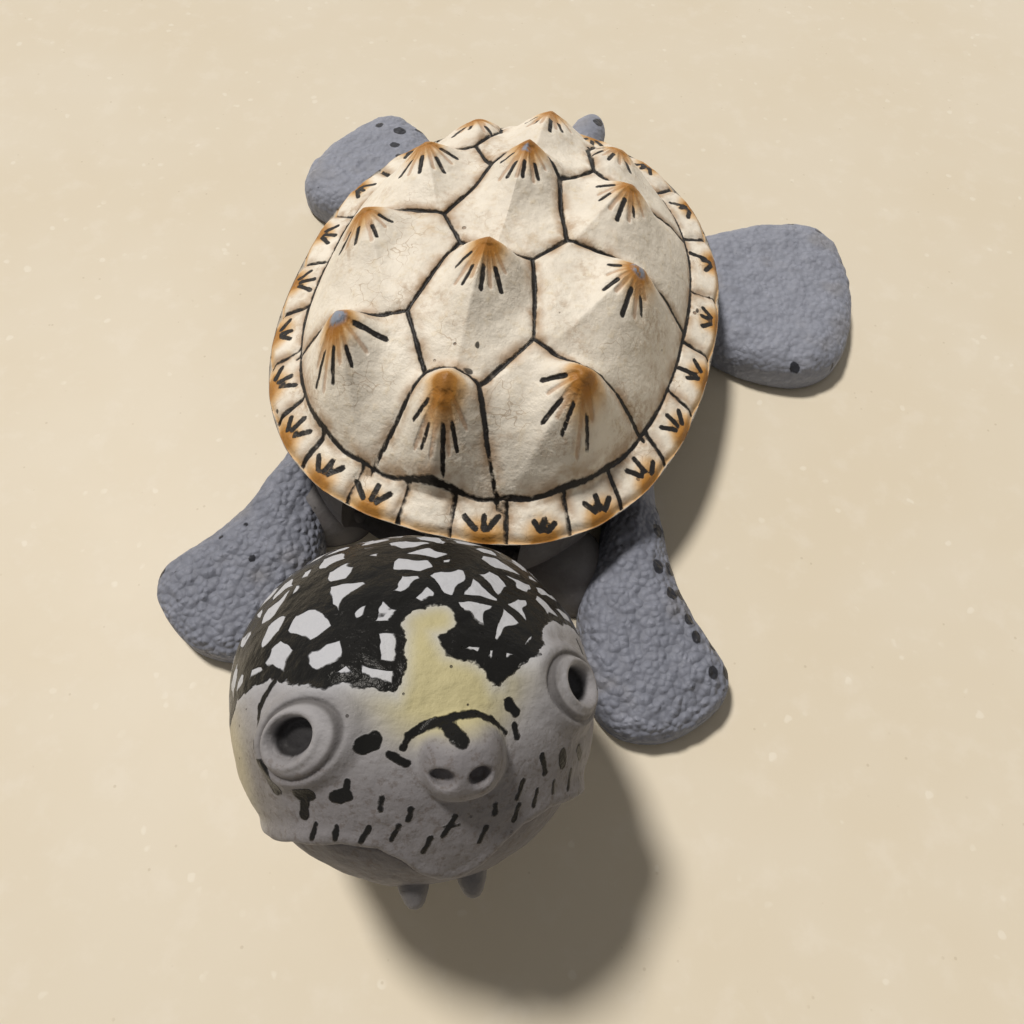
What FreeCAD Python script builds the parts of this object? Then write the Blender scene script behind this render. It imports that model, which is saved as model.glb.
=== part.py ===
import FreeCAD, Part
import math
import os
import Sketcher
from FreeCAD import Matrix, Placement, Rotation, Vector

# A cast turtle figurine whose head hangs inside the shell on a wire link, so that it nods and turns.
# Millimetres and degrees. +Z is up, the turtle faces -Y and its own left is +X.
# The origin is the centre of the flat underside that the figurine rests on.

# Driving sizes, one spreadsheet cell each
SIZES = (
    ("shell_half_width", 36.2),
    ("shell_front", 45.6),
    ("shell_rear", 46.0),
    ("rim_underside", 14.6),
    ("rim_edge", 1.8),
    ("band_width", 5.6),
    ("band_rise", 2.0),
    ("dome_rise", 15.4),
    ("band_blend", 1.0),
    ("shell_wall", 2.4),
    ("shell_ledge", 8.6),
    ("knob_height", 5.6),
    ("knob_lead", 15.0),
    ("knob_back", 6.0),
    ("knob_side", 8.4),
    ("body_inset", 5.0),
    ("body_foot_inset", 4.6),
    ("chest_reach", 7.6),
    ("body_wall", 3.0),
    ("body_floor", 2.4),
    ("mouth_width", 28.0),
    ("mouth_round", 3.0),
    ("seat_gap", 0.15),
    ("peg_radius", 2.4),
    ("peg_length", 4.5),
    ("peg_clearance", 0.1),
    ("peg_height", 6.0),
    ("front_flipper_length", 45.5),
    ("front_flipper_half_width", 12.5),
    ("rear_flipper_length", 39.0),
    ("rear_flipper_half_width", 19.3),
    ("flipper_thickness", 9.0),
    ("flipper_edge", 5.0),
    ("flipper_bevel", 2.2),
    ("flipper_drop", 1.6),
    ("tail_length", 25.0),
    ("tail_root_radius", 5.2),
    ("tail_tip_radius", 3.6),
    ("tail_height", 6.4),
    ("hang_back", 18.6),
    ("nod_height", 19.0),
    ("wire_radius", 0.6),
    ("ring_radius", 2.0),
    ("wire_gap", 0.1),
    ("boss_radius", 3.2),
    ("roof_shank", 2.8),
    ("neck_shank", 4.6),
    ("neck_turn", 10.0),
    ("neck_radius", 3.6),
    ("neck_root_radius", 4.2),
    ("neck_rear_height", 10.6),
    ("neck_mouth_height", 8.5),
    ("slug_start", 5.0),
    ("slug_radius", 6.2),
    ("slug_length", 36.95),
    ("slug_chamfer", 1.0),
    ("spigot_radius", 3.0),
    ("spigot_length", 7.0),
    ("head_reach", 44.1),
    ("head_height", 25.5),
    ("head_turn", 27.3),
    ("head_lift", 48.8),
    ("head_lean", 15.4),
    ("head_half_width", 20.5),
    ("head_half_length", 24.0),
    ("head_half_height", 18.0),
    ("head_wall", 2.2),
    ("jaw_step", 1.2),
    ("mouth_line", 9.8),
    ("snout_half_width", 5.5),
    ("snout_half_height", 5.0),
    ("snout_length", 8.0),
    ("snout_tip", 26.6),
    ("snout_rise", 2.6),
    ("nostril_radius", 0.9),
    ("nostril_spread", 1.9),
    ("nostril_depth", 2.0),
    ("eye_radius", 6.4),
    ("eye_rim_radius", 4.1),
    ("eye_height", 1.6),
    ("eye_sink", 1.8),
    ("eye_dish_radius", 2.7),
    ("eye_dish_depth", 1.2),
    ("barbel_radius", 1.5),
    ("barbel_length", 4.5),
    ("barbel_spread", 3.0),
)

# Plain ratios: how square the shell's outline is, how fast its dome falls away, and how much
# narrower the marginal band is at the front and rear than at the sides
OUTLINE_POWER = 2.3
OUTLINE_POWER_CHANGE = 0.2
DOME_POWER = 3.65
DOME_POWER_CHANGE = 0.85
KNOB_POWER = 2.4
BAND_NARROWING_FRONT = 0.2
BAND_NARROWING_REAR = 0.16
OUTLINE_POINTS = 28
SECTION_POINTS = 12
WIRE_SIDES = 6
CAVITY_SIDES = 12
GRID_COLUMNS = 26
GRID_ROWS = 32

# Knobs: place across and along as shares of the shell's half width and front length, then height share
MIDDLE_KNOB_SHARES = ((0.0, -0.7, 1.0), (0.0, -0.243, 1.05), (0.0, 0.263, 0.85), (0.0, 0.633, 0.8))
SIDE_KNOB_SHARES = ((0.49, -0.555, 1.05), (0.58, -0.107, 0.75), (0.46, 0.253, 0.7), (0.35, 0.584, 0.6))

# Flipper outlines: distance along and outward as shares of the flipper's own length and half width
FRONT_OUTLINE_SHARES = (
    (-0.13, 0.36), (0.11, 0.3), (0.27, 0.37), (0.44, 0.45), (0.59, 0.64), (0.7, 0.86), (0.79, 0.99),
    (0.88, 0.88), (0.955, 0.54), (0.998, 0.14), (0.99, -0.28), (0.935, -0.56), (0.835, -0.72),
    (0.7, -0.77), (0.57, -0.78), (0.44, -0.62), (0.3, -0.46), (0.15, -0.38), (-0.13, -0.4),
)
REAR_OUTLINE_SHARES = (
    (-0.2, 0.45), (0.1, 0.5), (0.28, 0.67), (0.46, 0.86), (0.64, 0.98), (0.8, 1.0), (0.91, 0.84),
    (0.97, 0.55), (1.0, 0.0), (0.96, -0.54), (0.87, -0.85), (0.72, -1.0), (0.51, -0.98), (0.33, -0.85),
    (0.15, -0.67), (-0.2, -0.55),
)

# Limbs: side, root across and along as shares, heading from straight ahead, then length and width shares
FRONT_LEFT_ROOT = (1, 0.88, -0.466, 15.0, 1.0, 1.0)
FRONT_RIGHT_ROOT = (-1, 0.76, -0.611, 5.0, 0.95, 1.0)
REAR_LEFT_ROOT = (1, 0.74, 0.602, 96.0, 1.0, 1.0)
REAR_RIGHT_ROOT = (-1, 0.66, 0.755, 112.0, 0.79, 0.8)
TAIL_ROOT = (1, 0.05, 0.98, 177.0, 1.0, 1.0)
SKULL_SQUARE = 0.93

# Skull sections: place forward, half width, height above and depth below as shares of the head's sizes
SKULL_SHARES = (
    (-0.99, 0.16, 0.16, 0.16), (-0.88, 0.48, 0.5, 0.46), (-0.62, 0.79, 0.8, 0.76), (-0.25, 0.97, 0.98, 0.95),
    (0.12, 1.0, 0.99, 1.0), (0.42, 0.93, 0.9, 0.95), (0.68, 0.76, 0.7, 0.82), (0.87, 0.53, 0.46, 0.62),
    (0.98, 0.24, 0.2, 0.32),
)
EYE_SHARES = (0.7, 0.64, 0.24)
MOUTH_CORNER_SHARE = 0.12
BARBEL_FORWARD_SHARE = 0.66
BARBEL_HEIGHT_SHARE = -0.66
BARBEL_LEAN = 0.5


def make_sheet(doc):
    sheet = doc.addObject("Spreadsheet::Sheet", "Sizes")
    for row, (name, value) in enumerate(SIZES, start=1):
        sheet.set(f"A{row}", name)
        sheet.set(f"B{row}", str(value))
        sheet.setAlias(f"B{row}", name)
    doc.recompute()
    return sheet


class Sizes:
    """The sheet's values, read by name."""

    def __init__(self, sheet):
        self.sheet = sheet

    def __getattr__(self, name):
        return float(self.sheet.get(name))


def bind(thing, **formulas):
    for name, formula in formulas.items():
        thing.setExpression(name, formula)


def add_piece(doc, label, shape, place=None):
    piece = doc.addObject("Part::Feature", label)
    piece.Shape = shape
    piece.Placement = place or Placement()
    return piece


def add_bound(doc, kind, label, place, **formulas):
    thing = doc.addObject(kind, label)
    bind(thing, **formulas)
    thing.Placement = place
    doc.recompute()
    return thing


def combine(doc, kind, label, base, tool):
    result = doc.addObject(kind, label)
    result.Base = base
    result.Tool = tool
    doc.recompute()
    return result


# Shell outline: an egg-shaped superellipse, squarer in front
def outline_reach(angle, half_width, front, rear):
    along = math.sin(angle)
    power = OUTLINE_POWER - OUTLINE_POWER_CHANGE * along
    length = rear if along > 0 else front
    total = abs(math.cos(angle) / half_width) ** power + abs(along / length) ** power
    return total ** (-1 / power)


def outline_wire(sizes, inset, height, chest=0):
    points = []
    for step in range(OUTLINE_POINTS):
        angle = 2 * math.pi * step / OUTLINE_POINTS
        reach = outline_reach(angle, sizes.shell_half_width - inset, sizes.shell_front - inset + chest,
                              sizes.shell_rear - inset)
        points.append(Vector(reach * math.cos(angle), reach * math.sin(angle), height))
    curve = Part.BSplineCurve()
    curve.interpolate(Points=points, PeriodicFlag=True)
    return Part.Wire([curve.toShape()])


def outline_prism(sizes, inset, low, high):
    return Part.Face(outline_wire(sizes, inset, low)).extrude(Vector(0, 0, high - low))


# Shell surface: dome, marginal band and knobs as one height over the plan
def knob_rise(sizes, across, along):
    half_width, front = sizes.shell_half_width, sizes.shell_front
    places = list(MIDDLE_KNOB_SHARES) + list(SIDE_KNOB_SHARES)
    places += [(-x, y, rise) for x, y, rise in SIDE_KNOB_SHARES]
    total = 0
    for x_share, y_share, rise_share in places:
        ahead = y_share * front - along
        reach = sizes.knob_lead if ahead > 0 else sizes.knob_back
        away = math.hypot((across - x_share * half_width) / sizes.knob_side, ahead / reach)
        if away < 1:
            total += rise_share * sizes.knob_height * (1 - away ** 2) ** KNOB_POWER
    return total


def band_share(sizes, angle):
    """The marginal band's width as a share of the shell's reach at that angle."""
    along = math.sin(angle)
    narrowing = BAND_NARROWING_FRONT if along < 0 else BAND_NARROWING_REAR
    return sizes.band_width / sizes.shell_half_width * (1 - narrowing * along ** 2)


def shell_height(sizes, across, along, knobs):
    angle = math.atan2(along, across)
    reach = outline_reach(angle, sizes.shell_half_width, sizes.shell_front, sizes.shell_rear)
    share = math.hypot(across, along) / reach
    ring_share = 1 - band_share(sizes, angle)
    power = DOME_POWER - DOME_POWER_CHANGE * math.sin(angle)
    dome = sizes.dome_rise * (1 - (share / ring_share) ** power)
    band = -sizes.band_rise * (share - ring_share) / (1 - ring_share)
    blend = (dome + band + math.hypot(dome - band, sizes.band_blend)) / 2
    ring_height = sizes.rim_underside + sizes.rim_edge + sizes.band_rise
    return ring_height + blend + (knob_rise(sizes, across, along) if knobs else 0)


def shell_block(sizes, drop, knobs, columns, rows):
    """A solid under the shell's surface lowered by drop, over a rectangle a little past the rim."""
    margin = sizes.rim_edge
    width = 2 * (sizes.shell_half_width + margin)
    length = sizes.shell_front + sizes.shell_rear + 2 * margin
    grid = []
    for column in range(columns + 1):
        across = width * (column / columns - 1 / 2)
        line = []
        for row in range(rows + 1):
            along = length * row / rows - sizes.shell_front - margin
            line.append(Vector(across, along, shell_height(sizes, across, along, knobs) - drop))
        grid.append(line)
    surface = Part.BSplineSurface()
    surface.interpolate(grid)
    depth = sizes.rim_underside + sizes.dome_rise + sizes.knob_height + sizes.band_rise + sizes.rim_edge
    return surface.toShape().extrude(Vector(0, 0, -depth))


def make_carapace(sizes):
    top = sizes.rim_underside + 2 * (sizes.dome_rise + sizes.knob_height)
    cast = outline_prism(sizes, 0, sizes.rim_underside, top).common(
        shell_block(sizes, 0, True, GRID_COLUMNS, GRID_ROWS))
    hollow = outline_prism(sizes, sizes.shell_ledge, sizes.rim_underside - sizes.rim_edge, top).common(
        shell_block(sizes, sizes.shell_wall, False, GRID_COLUMNS // 2, GRID_ROWS // 2))
    cast = cast.cut(hollow)
    foot = roof_eye_top(sizes)
    hang = -(sizes.shell_front - sizes.hang_back)
    roof = shell_height(sizes, 0, hang, False)
    boss = Part.makeCylinder(sizes.boss_radius, roof - sizes.shell_wall / 2 - foot, Vector(0, hang, foot))
    hole = Part.makeCylinder(sizes.wire_radius + sizes.peg_clearance / 2, sizes.roof_shank + sizes.wire_gap,
                             Vector(0, hang, foot))
    return cast.fuse(boss).cut(hole)


# The three wire rings hang in a chain: roof eye, link, neck eye
def link_centre(sizes):
    return sizes.nod_height + sizes.ring_radius


def ring_pitch(sizes):
    return 2 * sizes.ring_radius - 2 * sizes.wire_radius - sizes.wire_gap


def roof_eye_centre(sizes):
    return link_centre(sizes) + ring_pitch(sizes)


def roof_eye_top(sizes):
    return roof_eye_centre(sizes) + sizes.ring_radius + sizes.wire_radius + sizes.wire_gap


# Body casting: an open tub with the neck's mouth and the limbs' sockets
def body_form(sizes, inset, low, ruled=False):
    """The tub's form between two heights, its chest pushed forward at mid height."""
    wires = [
        outline_wire(sizes, inset + sizes.body_foot_inset, low, sizes.chest_reach / 2),
        outline_wire(sizes, inset + sizes.body_foot_inset / 4, sizes.rim_underside / 2, sizes.chest_reach),
        outline_wire(sizes, inset, sizes.rim_underside),
    ]
    return Part.makeLoft(wires, True, ruled)


def make_body(sizes, limbs):
    tub = body_form(sizes, sizes.body_inset, 0)
    tub = tub.cut(body_form(sizes, sizes.body_inset + sizes.body_wall, sizes.body_floor, True))
    depth = sizes.chest_reach + 2 * sizes.mouth_width
    mouth = Part.makeBox(sizes.mouth_width, depth, sizes.rim_underside,
                         Vector(-sizes.mouth_width / 2, sizes.mouth_width - sizes.shell_front - depth,
                                sizes.body_floor))
    low_edges = [edge for edge in mouth.Edges
                 if edge.BoundBox.YLength > edge.BoundBox.XLength + edge.BoundBox.ZLength
                 and edge.CenterOfMass.z < sizes.rim_underside / 2]
    tub = tub.cut(mouth.makeFillet(sizes.mouth_round, low_edges))
    for limb in limbs:
        tub = tub.cut(peg(sizes, sizes.peg_clearance).transformed(limb.toMatrix()))
    return tub


# Limbs: each is cast with a peg that goes into the body's socket
def section_wire(half_width, top, bottom, square, place):
    points = []
    for step in range(SECTION_POINTS):
        angle = 2 * math.pi * step / SECTION_POINTS
        across, up = math.cos(angle), math.sin(angle)
        height = top if up > 0 else bottom
        points.append(Vector(half_width * math.copysign(abs(across) ** square, across), 0,
                             height * math.copysign(abs(up) ** square, up)))
    curve = Part.BSplineCurve()
    curve.interpolate(Points=points, PeriodicFlag=True)
    wire = Part.Wire([curve.toShape()])
    wire.transformShape(place.toMatrix())
    return wire


def peg(sizes, clearance):
    """A peg along the limb's own axis, from inside the body to inside the limb."""
    start = sizes.peg_length + clearance
    return Part.makeCylinder(sizes.peg_radius + clearance, start + sizes.peg_length,
                             Vector(0, start, sizes.peg_height), Vector(0, -1, 0))


def limb_place(sizes, root):
    """The limb's frame: its own -Y points out of the body at the heading."""
    side, across, along, heading = root[:4]
    foot = Vector(side * across * (sizes.shell_half_width - sizes.body_inset),
                  along * (sizes.shell_front - sizes.body_inset), 0)
    return Placement(foot, Rotation(Vector(0, 0, 1), side * heading))


def paddle_wire(sizes, length, half_width, side, shares, inset, height, drop):
    """The flipper's outline moved inward by inset, lower by drop at the tip."""
    points = []
    for along_share, outward_share in shares:
        along = length / 2 + (along_share - 1 / 2) * (length - 2 * inset)
        outward = outward_share * (half_width - inset)
        points.append(Vector(side * outward, -along, height - drop * along_share))
    curve = Part.BSplineCurve()
    curve.interpolate(Points=points, PeriodicFlag=True)
    return Part.Wire([curve.toShape()])


def limb_seat(sizes):
    """The body's outer form with the seat gap, which every limb is cut to."""
    return body_form(sizes, sizes.body_inset - sizes.seat_gap, -sizes.seat_gap)


def make_flipper(doc, sizes, seat, label, length, half_width, shares, root):
    place = limb_place(sizes, root)
    side, reach, half_width = root[0], root[4] * length, root[5] * half_width
    wires = [
        paddle_wire(sizes, reach, half_width, side, shares, 0, 0, 0),
        paddle_wire(sizes, reach, half_width, side, shares, 0, sizes.flipper_edge, 0),
        paddle_wire(sizes, reach, half_width, side, shares, sizes.flipper_bevel, sizes.flipper_thickness,
                    sizes.flipper_drop),
    ]
    paddle = Part.makeLoft(wires, True, True)
    local_seat = seat.transformed(place.inverse().toMatrix())
    return add_piece(doc, label, paddle.cut(local_seat).fuse(peg(sizes, 0)), place)


def make_tail(doc, sizes, seat_shape):
    """A blunt cone with a round end, cut to the body's back, on the same peg as the flippers."""
    place = limb_place(sizes, TAIL_ROOT)
    outward = Placement(Vector(0, 0, sizes.tail_height), Rotation(Vector(1, 0, 0), 90))
    cone = add_bound(doc, "Part::Cone", "tail_cone", place * outward, Radius1="Sizes.tail_root_radius",
                     Radius2="Sizes.tail_tip_radius", Height="Sizes.tail_length - Sizes.tail_tip_radius")
    tip_at = Placement(Vector(0, 0, sizes.tail_length - sizes.tail_tip_radius), Rotation())
    tip = add_bound(doc, "Part::Sphere", "tail_tip", place * outward * tip_at,
                    Radius="Sizes.tail_tip_radius")
    seat = add_piece(doc, "tail_seat", seat_shape)
    cone_and_tip = combine(doc, "Part::Fuse", "tail_blank", cone, tip)
    seated = combine(doc, "Part::Cut", "tail_seated", cone_and_tip, seat)
    pin = add_piece(doc, "tail_peg", peg(sizes, 0), place)
    return combine(doc, "Part::Fuse", "tail", seated, pin)


# The neck's own frame stands under the hanging point, with -Y along the neck towards the head
def neck_place(sizes):
    hang = Vector(0, sizes.hang_back - sizes.shell_front, 0)
    return Placement(hang, Rotation(Vector(0, 0, 1), sizes.neck_turn))


def neck_axis(sizes):
    """The neck's inner end, with +Y along the neck's own line away from the head."""
    rise = sizes.neck_rear_height - sizes.neck_mouth_height
    slope = math.degrees(math.atan2(rise, sizes.slug_start + sizes.hang_back))
    return Placement(Vector(0, sizes.slug_start, sizes.neck_rear_height), Rotation(Vector(1, 0, 0), slope))


def head_place(sizes):
    centre = Vector(0, -sizes.head_reach, sizes.head_height)
    turn = Rotation(Vector(0, 0, 1), sizes.head_turn)
    lift = Rotation(Vector(1, 0, 0), -sizes.head_lift)
    lean = Rotation(Vector(0, 1, 0), sizes.head_lean)
    return Placement(centre, turn * lift * lean)


def neck_eye_centre(sizes):
    return sizes.nod_height - sizes.ring_radius + 2 * sizes.wire_radius + sizes.wire_gap


def make_ring(doc, label, place, height, across):
    """A wire ring standing on edge, facing along X or across it along Y."""
    wire = doc.addObject("Part::RegularPolygon", label + "_wire")
    wire.Polygon = WIRE_SIDES
    bind(wire, Circumradius="Sizes.wire_radius")
    wire.Placement = Placement(Vector(0, 0, float(doc.Sizes.ring_radius)), Rotation(Vector(1, 0, 0), 90))
    ring = doc.addObject("Part::Revolution", label)
    ring.Source = wire
    ring.Axis = Vector(1, 0, 0)
    ring.Angle = 360
    ring.Solid = True
    facing = Rotation(Vector(0, 0, 1), 90 if across else 0)
    ring.Placement = place * Placement(Vector(0, 0, height), facing)
    doc.recompute()
    return ring


def make_wire_eye(doc, label, place, ring_height, shank_name, upward):
    """A wire ring on a straight shank that goes up or down from it."""
    ring = make_ring(doc, label + "_ring", place, ring_height, False)
    direction = Rotation() if upward else Rotation(Vector(1, 0, 0), 180)
    foot = Vector(0, 0, ring_height) + direction.multVec(Vector(0, 0, float(doc.Sizes.ring_radius)))
    shank = add_bound(doc, "Part::Prism", label + "_shank", place * Placement(foot, direction),
                      Circumradius="Sizes.wire_radius", Height=f"Sizes.wire_radius + Sizes.{shank_name}")
    shank.Polygon = WIRE_SIDES
    return combine(doc, "Part::Fuse", label, ring, shank)


def make_counterweight(doc, sizes):
    """A turned slug with a blind bore that slips over the neck's spigot."""
    body = doc.addObject("PartDesign::Body", "counterweight")
    plane = [item for item in body.Origin.OriginFeatures if item.Role == "XZ_Plane"][0]
    section = add_circle_sketch(body, plane, "slug_section", "Sizes.slug_radius")
    pad = body.newObject("PartDesign::Pad", "slug")
    pad.Profile = section
    pad.Reversed = True
    bind(pad, Length="Sizes.slug_length")
    doc.recompute()
    whole = pad.Shape.Volume
    bore = add_circle_sketch(body, plane, "spigot_section", "Sizes.spigot_radius + Sizes.peg_clearance")
    pocket = body.newObject("PartDesign::Pocket", "spigot_bore")
    pocket.Profile = bore
    pocket.Reversed = False
    bind(pocket, Length="Sizes.spigot_length + Sizes.wire_gap")
    doc.recompute()
    if pocket.Shape.Volume >= whole:
        raise ValueError("the spigot's bore removed nothing")
    rims = [f"Edge{number}" for number, edge in enumerate(pocket.Shape.Edges, start=1)
            if isinstance(edge.Curve, Part.Circle)
            and abs(edge.Curve.Radius - sizes.slug_radius) < sizes.wire_gap]
    chamfer = body.newObject("PartDesign::Chamfer", "slug_chamfer")
    chamfer.Base = (pocket, rims)
    bind(chamfer, Size="Sizes.slug_chamfer")
    body.Tip = chamfer
    clear_of_neck = Placement(Vector(0, sizes.wire_gap, 0), Rotation())
    body.Placement = neck_place(sizes) * neck_axis(sizes) * clear_of_neck
    return body


def add_circle_sketch(body, plane, name, radius_formula):
    sketch = body.newObject("Sketcher::SketchObject", name)
    sketch.AttachmentSupport = [(plane, "")]
    sketch.MapMode = "FlatFace"
    sketch.addGeometry(Part.Circle(Vector(0, 0, 0), Vector(0, 0, 1), 1), False)
    sketch.addConstraint(Sketcher.Constraint("Coincident", 0, 3, -1, 1))
    sketch.addConstraint(Sketcher.Constraint("Radius", 0, 1))
    sketch.setExpression("Constraints[1]", radius_formula)
    return sketch


# Head casting: skull, jaws, snout, eyes and barbels, hollow, in one with the neck
def skull(sizes, shrink):
    wires = []
    for forward, wide, above, below in SKULL_SHARES:
        at = Placement(Vector(0, -forward * (sizes.head_half_length - shrink), 0), Rotation())
        wires.append(section_wire(wide * (sizes.head_half_width - shrink),
                                  above * (sizes.head_half_height - shrink),
                                  below * (sizes.head_half_height - shrink), SKULL_SQUARE, at))
    return Part.makeLoft(wires, True, False)


def skull_with_jaws(sizes):
    """The upper jaw overhangs a lower jaw that is set back by the jaw step."""
    corner = -MOUTH_CORNER_SHARE * sizes.head_half_length
    under_jaw = Part.makeBox(4 * sizes.head_half_width, 2 * sizes.head_half_length,
                             2 * sizes.head_half_height,
                             Vector(-2 * sizes.head_half_width, corner - 2 * sizes.head_half_length,
                                    -sizes.mouth_line - 2 * sizes.head_half_height))
    return skull(sizes, 0).cut(under_jaw).fuse(skull(sizes, sizes.jaw_step))


def snout(sizes):
    stretch = Matrix()
    stretch.scale(Vector(sizes.snout_half_width, sizes.snout_length, sizes.snout_half_height))
    ball = Part.makeSphere(1).transformGeometry(stretch)
    ball.translate(Vector(0, sizes.snout_length - sizes.snout_tip, sizes.snout_rise))
    return ball


def nostril(sizes, side):
    tip = Vector(side * sizes.nostril_spread, -sizes.snout_tip - sizes.nostril_depth, sizes.snout_rise)
    depth = 2 * sizes.nostril_depth + sizes.jaw_step
    return Part.makeCylinder(sizes.nostril_radius, depth, tip, Vector(0, 1, 0))


def eye_frame(sizes, side):
    """The point on the skull under the eye, and the way the eye faces."""
    across, forward, up = EYE_SHARES
    half = Vector(sizes.head_half_width, sizes.head_half_length, sizes.head_half_height)
    point = Vector(side * across * half.x, -forward * half.y, up * half.z)
    facing = Vector(point.x / half.x ** 2, point.y / half.y ** 2, point.z / half.z ** 2)
    return point, facing.normalize()


def eye_mound(sizes, point, facing):
    """A low round mound, partly sunk in the skull, with a flat dish in its middle."""
    foot = point - facing * sizes.eye_sink
    mound = Part.makeCone(sizes.eye_radius, sizes.eye_rim_radius, sizes.eye_sink + sizes.eye_height,
                          foot, facing)
    floor = point + facing * (sizes.eye_height - sizes.eye_dish_depth)
    return mound, Part.makeCylinder(sizes.eye_dish_radius, 2 * sizes.eye_dish_depth, floor, facing)


def barbel(sizes, side):
    """A small pointed pyramid that hangs from the chin."""
    foot = Vector(side * sizes.barbel_spread, -BARBEL_FORWARD_SHARE * sizes.head_half_length,
                  BARBEL_HEIGHT_SHARE * sizes.head_half_height)
    down = Vector(0, -BARBEL_LEAN, -1).normalize()
    wires = []
    for radius, reach in ((sizes.barbel_radius, 0), (sizes.barbel_radius / 4, sizes.barbel_length)):
        corners = [Vector(radius, 0, 0), Vector(0, radius, 0), Vector(-radius, 0, 0), Vector(0, -radius, 0)]
        wire = Part.makePolygon(corners + corners[:1])
        wire.transformShape(Placement(foot + down * reach, Rotation(Vector(0, 0, 1), down)).toMatrix())
        wires.append(wire)
    return Part.makeLoft(wires, True, True)


def skull_cavity(sizes):
    """The skull's hollow, as flat-sided as its core print."""
    shrink = sizes.head_wall + sizes.jaw_step / 2
    wires = []
    for forward, wide, above, below in SKULL_SHARES[1:-1]:
        corners = []
        for step in range(CAVITY_SIDES):
            angle = 2 * math.pi * step / CAVITY_SIDES
            tall = above if math.sin(angle) > 0 else below
            corners.append(Vector(wide * (sizes.head_half_width - shrink) * math.cos(angle),
                                  -forward * (sizes.head_half_length - shrink),
                                  tall * (sizes.head_half_height - shrink) * math.sin(angle)))
        wires.append(Part.makePolygon(corners + corners[:1]))
    return Part.makeLoft(wires, True, True)


def neck(sizes):
    """A straight rod with a flared root in the skull and a spigot at its inner end."""
    line = neck_axis(sizes)
    reach = sizes.slug_start + sizes.head_reach - sizes.head_half_length / 2
    flare = sizes.slug_start + sizes.hang_back
    rod = Part.makeCylinder(sizes.neck_radius, flare, Vector(), Vector(0, -1, 0))
    root = Part.makeCone(sizes.neck_radius, sizes.neck_root_radius, reach - flare, Vector(0, -flare, 0),
                         Vector(0, -1, 0))
    spigot = Part.makeCylinder(sizes.spigot_radius, sizes.spigot_length + sizes.neck_radius,
                               Vector(0, sizes.spigot_length, 0), Vector(0, -1, 0))
    return rod.fuse(root).fuse(spigot).transformed(line.toMatrix())


def make_head(sizes):
    head = skull_with_jaws(sizes).fuse(snout(sizes))
    for side in (-1, 1):
        point, facing = eye_frame(sizes, side)
        mound, dish = eye_mound(sizes, point, facing)
        head = head.fuse(mound).cut(dish).cut(nostril(sizes, side)).fuse(barbel(sizes, side))
    place = head_place(sizes).toMatrix()
    cavity = skull_cavity(sizes).transformed(place)
    casting = head.transformed(place).fuse(neck(sizes)).cut(cavity)
    bore_top = neck_eye_centre(sizes) - sizes.ring_radius
    bore = Part.makeCylinder(sizes.wire_radius + sizes.peg_clearance / 2,
                             sizes.neck_shank + sizes.wire_radius + sizes.wire_gap,
                             Vector(0, 0, bore_top), Vector(0, 0, -1))
    return casting.cut(bore)


def make_document():
    doc = FreeCAD.newDocument("TurtleFigurine")
    sizes = Sizes(make_sheet(doc))
    front = (sizes.front_flipper_length, sizes.front_flipper_half_width, FRONT_OUTLINE_SHARES)
    rear = (sizes.rear_flipper_length, sizes.rear_flipper_half_width, REAR_OUTLINE_SHARES)
    seat = limb_seat(sizes)
    flippers = [
        make_flipper(doc, sizes, seat, "front_left_flipper", *front, FRONT_LEFT_ROOT),
        make_flipper(doc, sizes, seat, "front_right_flipper", *front, FRONT_RIGHT_ROOT),
        make_flipper(doc, sizes, seat, "rear_left_flipper", *rear, REAR_LEFT_ROOT),
        make_flipper(doc, sizes, seat, "rear_right_flipper", *rear, REAR_RIGHT_ROOT),
    ]
    limb_places = [flipper.Placement for flipper in flippers] + [limb_place(sizes, TAIL_ROOT)]
    hang = Placement(Vector(0, sizes.hang_back - sizes.shell_front, 0), Rotation())
    pieces = flippers + [
        make_tail(doc, sizes, seat),
        add_piece(doc, "carapace", make_carapace(sizes)),
        add_piece(doc, "body_casting", make_body(sizes, limb_places)),
        make_wire_eye(doc, "roof_eye", hang, roof_eye_centre(sizes), "roof_shank", True),
        make_ring(doc, "hanger_link", neck_place(sizes), link_centre(sizes), True),
        make_wire_eye(doc, "neck_eye", neck_place(sizes), neck_eye_centre(sizes), "neck_shank", False),
        make_counterweight(doc, sizes),
        add_piece(doc, "head_casting", make_head(sizes), neck_place(sizes)),
    ]
    doc.recompute()
    return doc, pieces


def check_pieces(doc, pieces):
    for thing in doc.Objects:
        if "Invalid" in thing.State or "Error" in thing.State:
            raise ValueError(f"{thing.Label} did not recompute: {thing.State}")
    for piece in pieces:
        shape = piece.Shape
        if shape.isNull() or not shape.isValid() or len(shape.Solids) != 1:
            raise ValueError(f"{piece.Label} is not one valid solid: {len(shape.Solids)} solids")


def export_pieces(pieces):
    os.makedirs("parts", exist_ok=True)
    for piece in pieces:
        piece.Shape.exportStep(f"parts/{piece.Label}.step")
        box = piece.Shape.BoundBox
        extent = f"{box.XLength:.1f} x {box.YLength:.1f} x {box.ZLength:.1f}"
        print(f"{piece.Label}: {piece.Shape.Volume:.0f} mm3, {extent}")


if __name__ == "__main__":
    document, all_pieces = make_document()
    check_pieces(document, all_pieces)
    export_pieces(all_pieces)
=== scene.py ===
import math

import bmesh
import bpy
import numpy as np
from bpy.props import FloatProperty, FloatVectorProperty, PointerProperty
from mathutils import Matrix, Vector, noise


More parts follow.
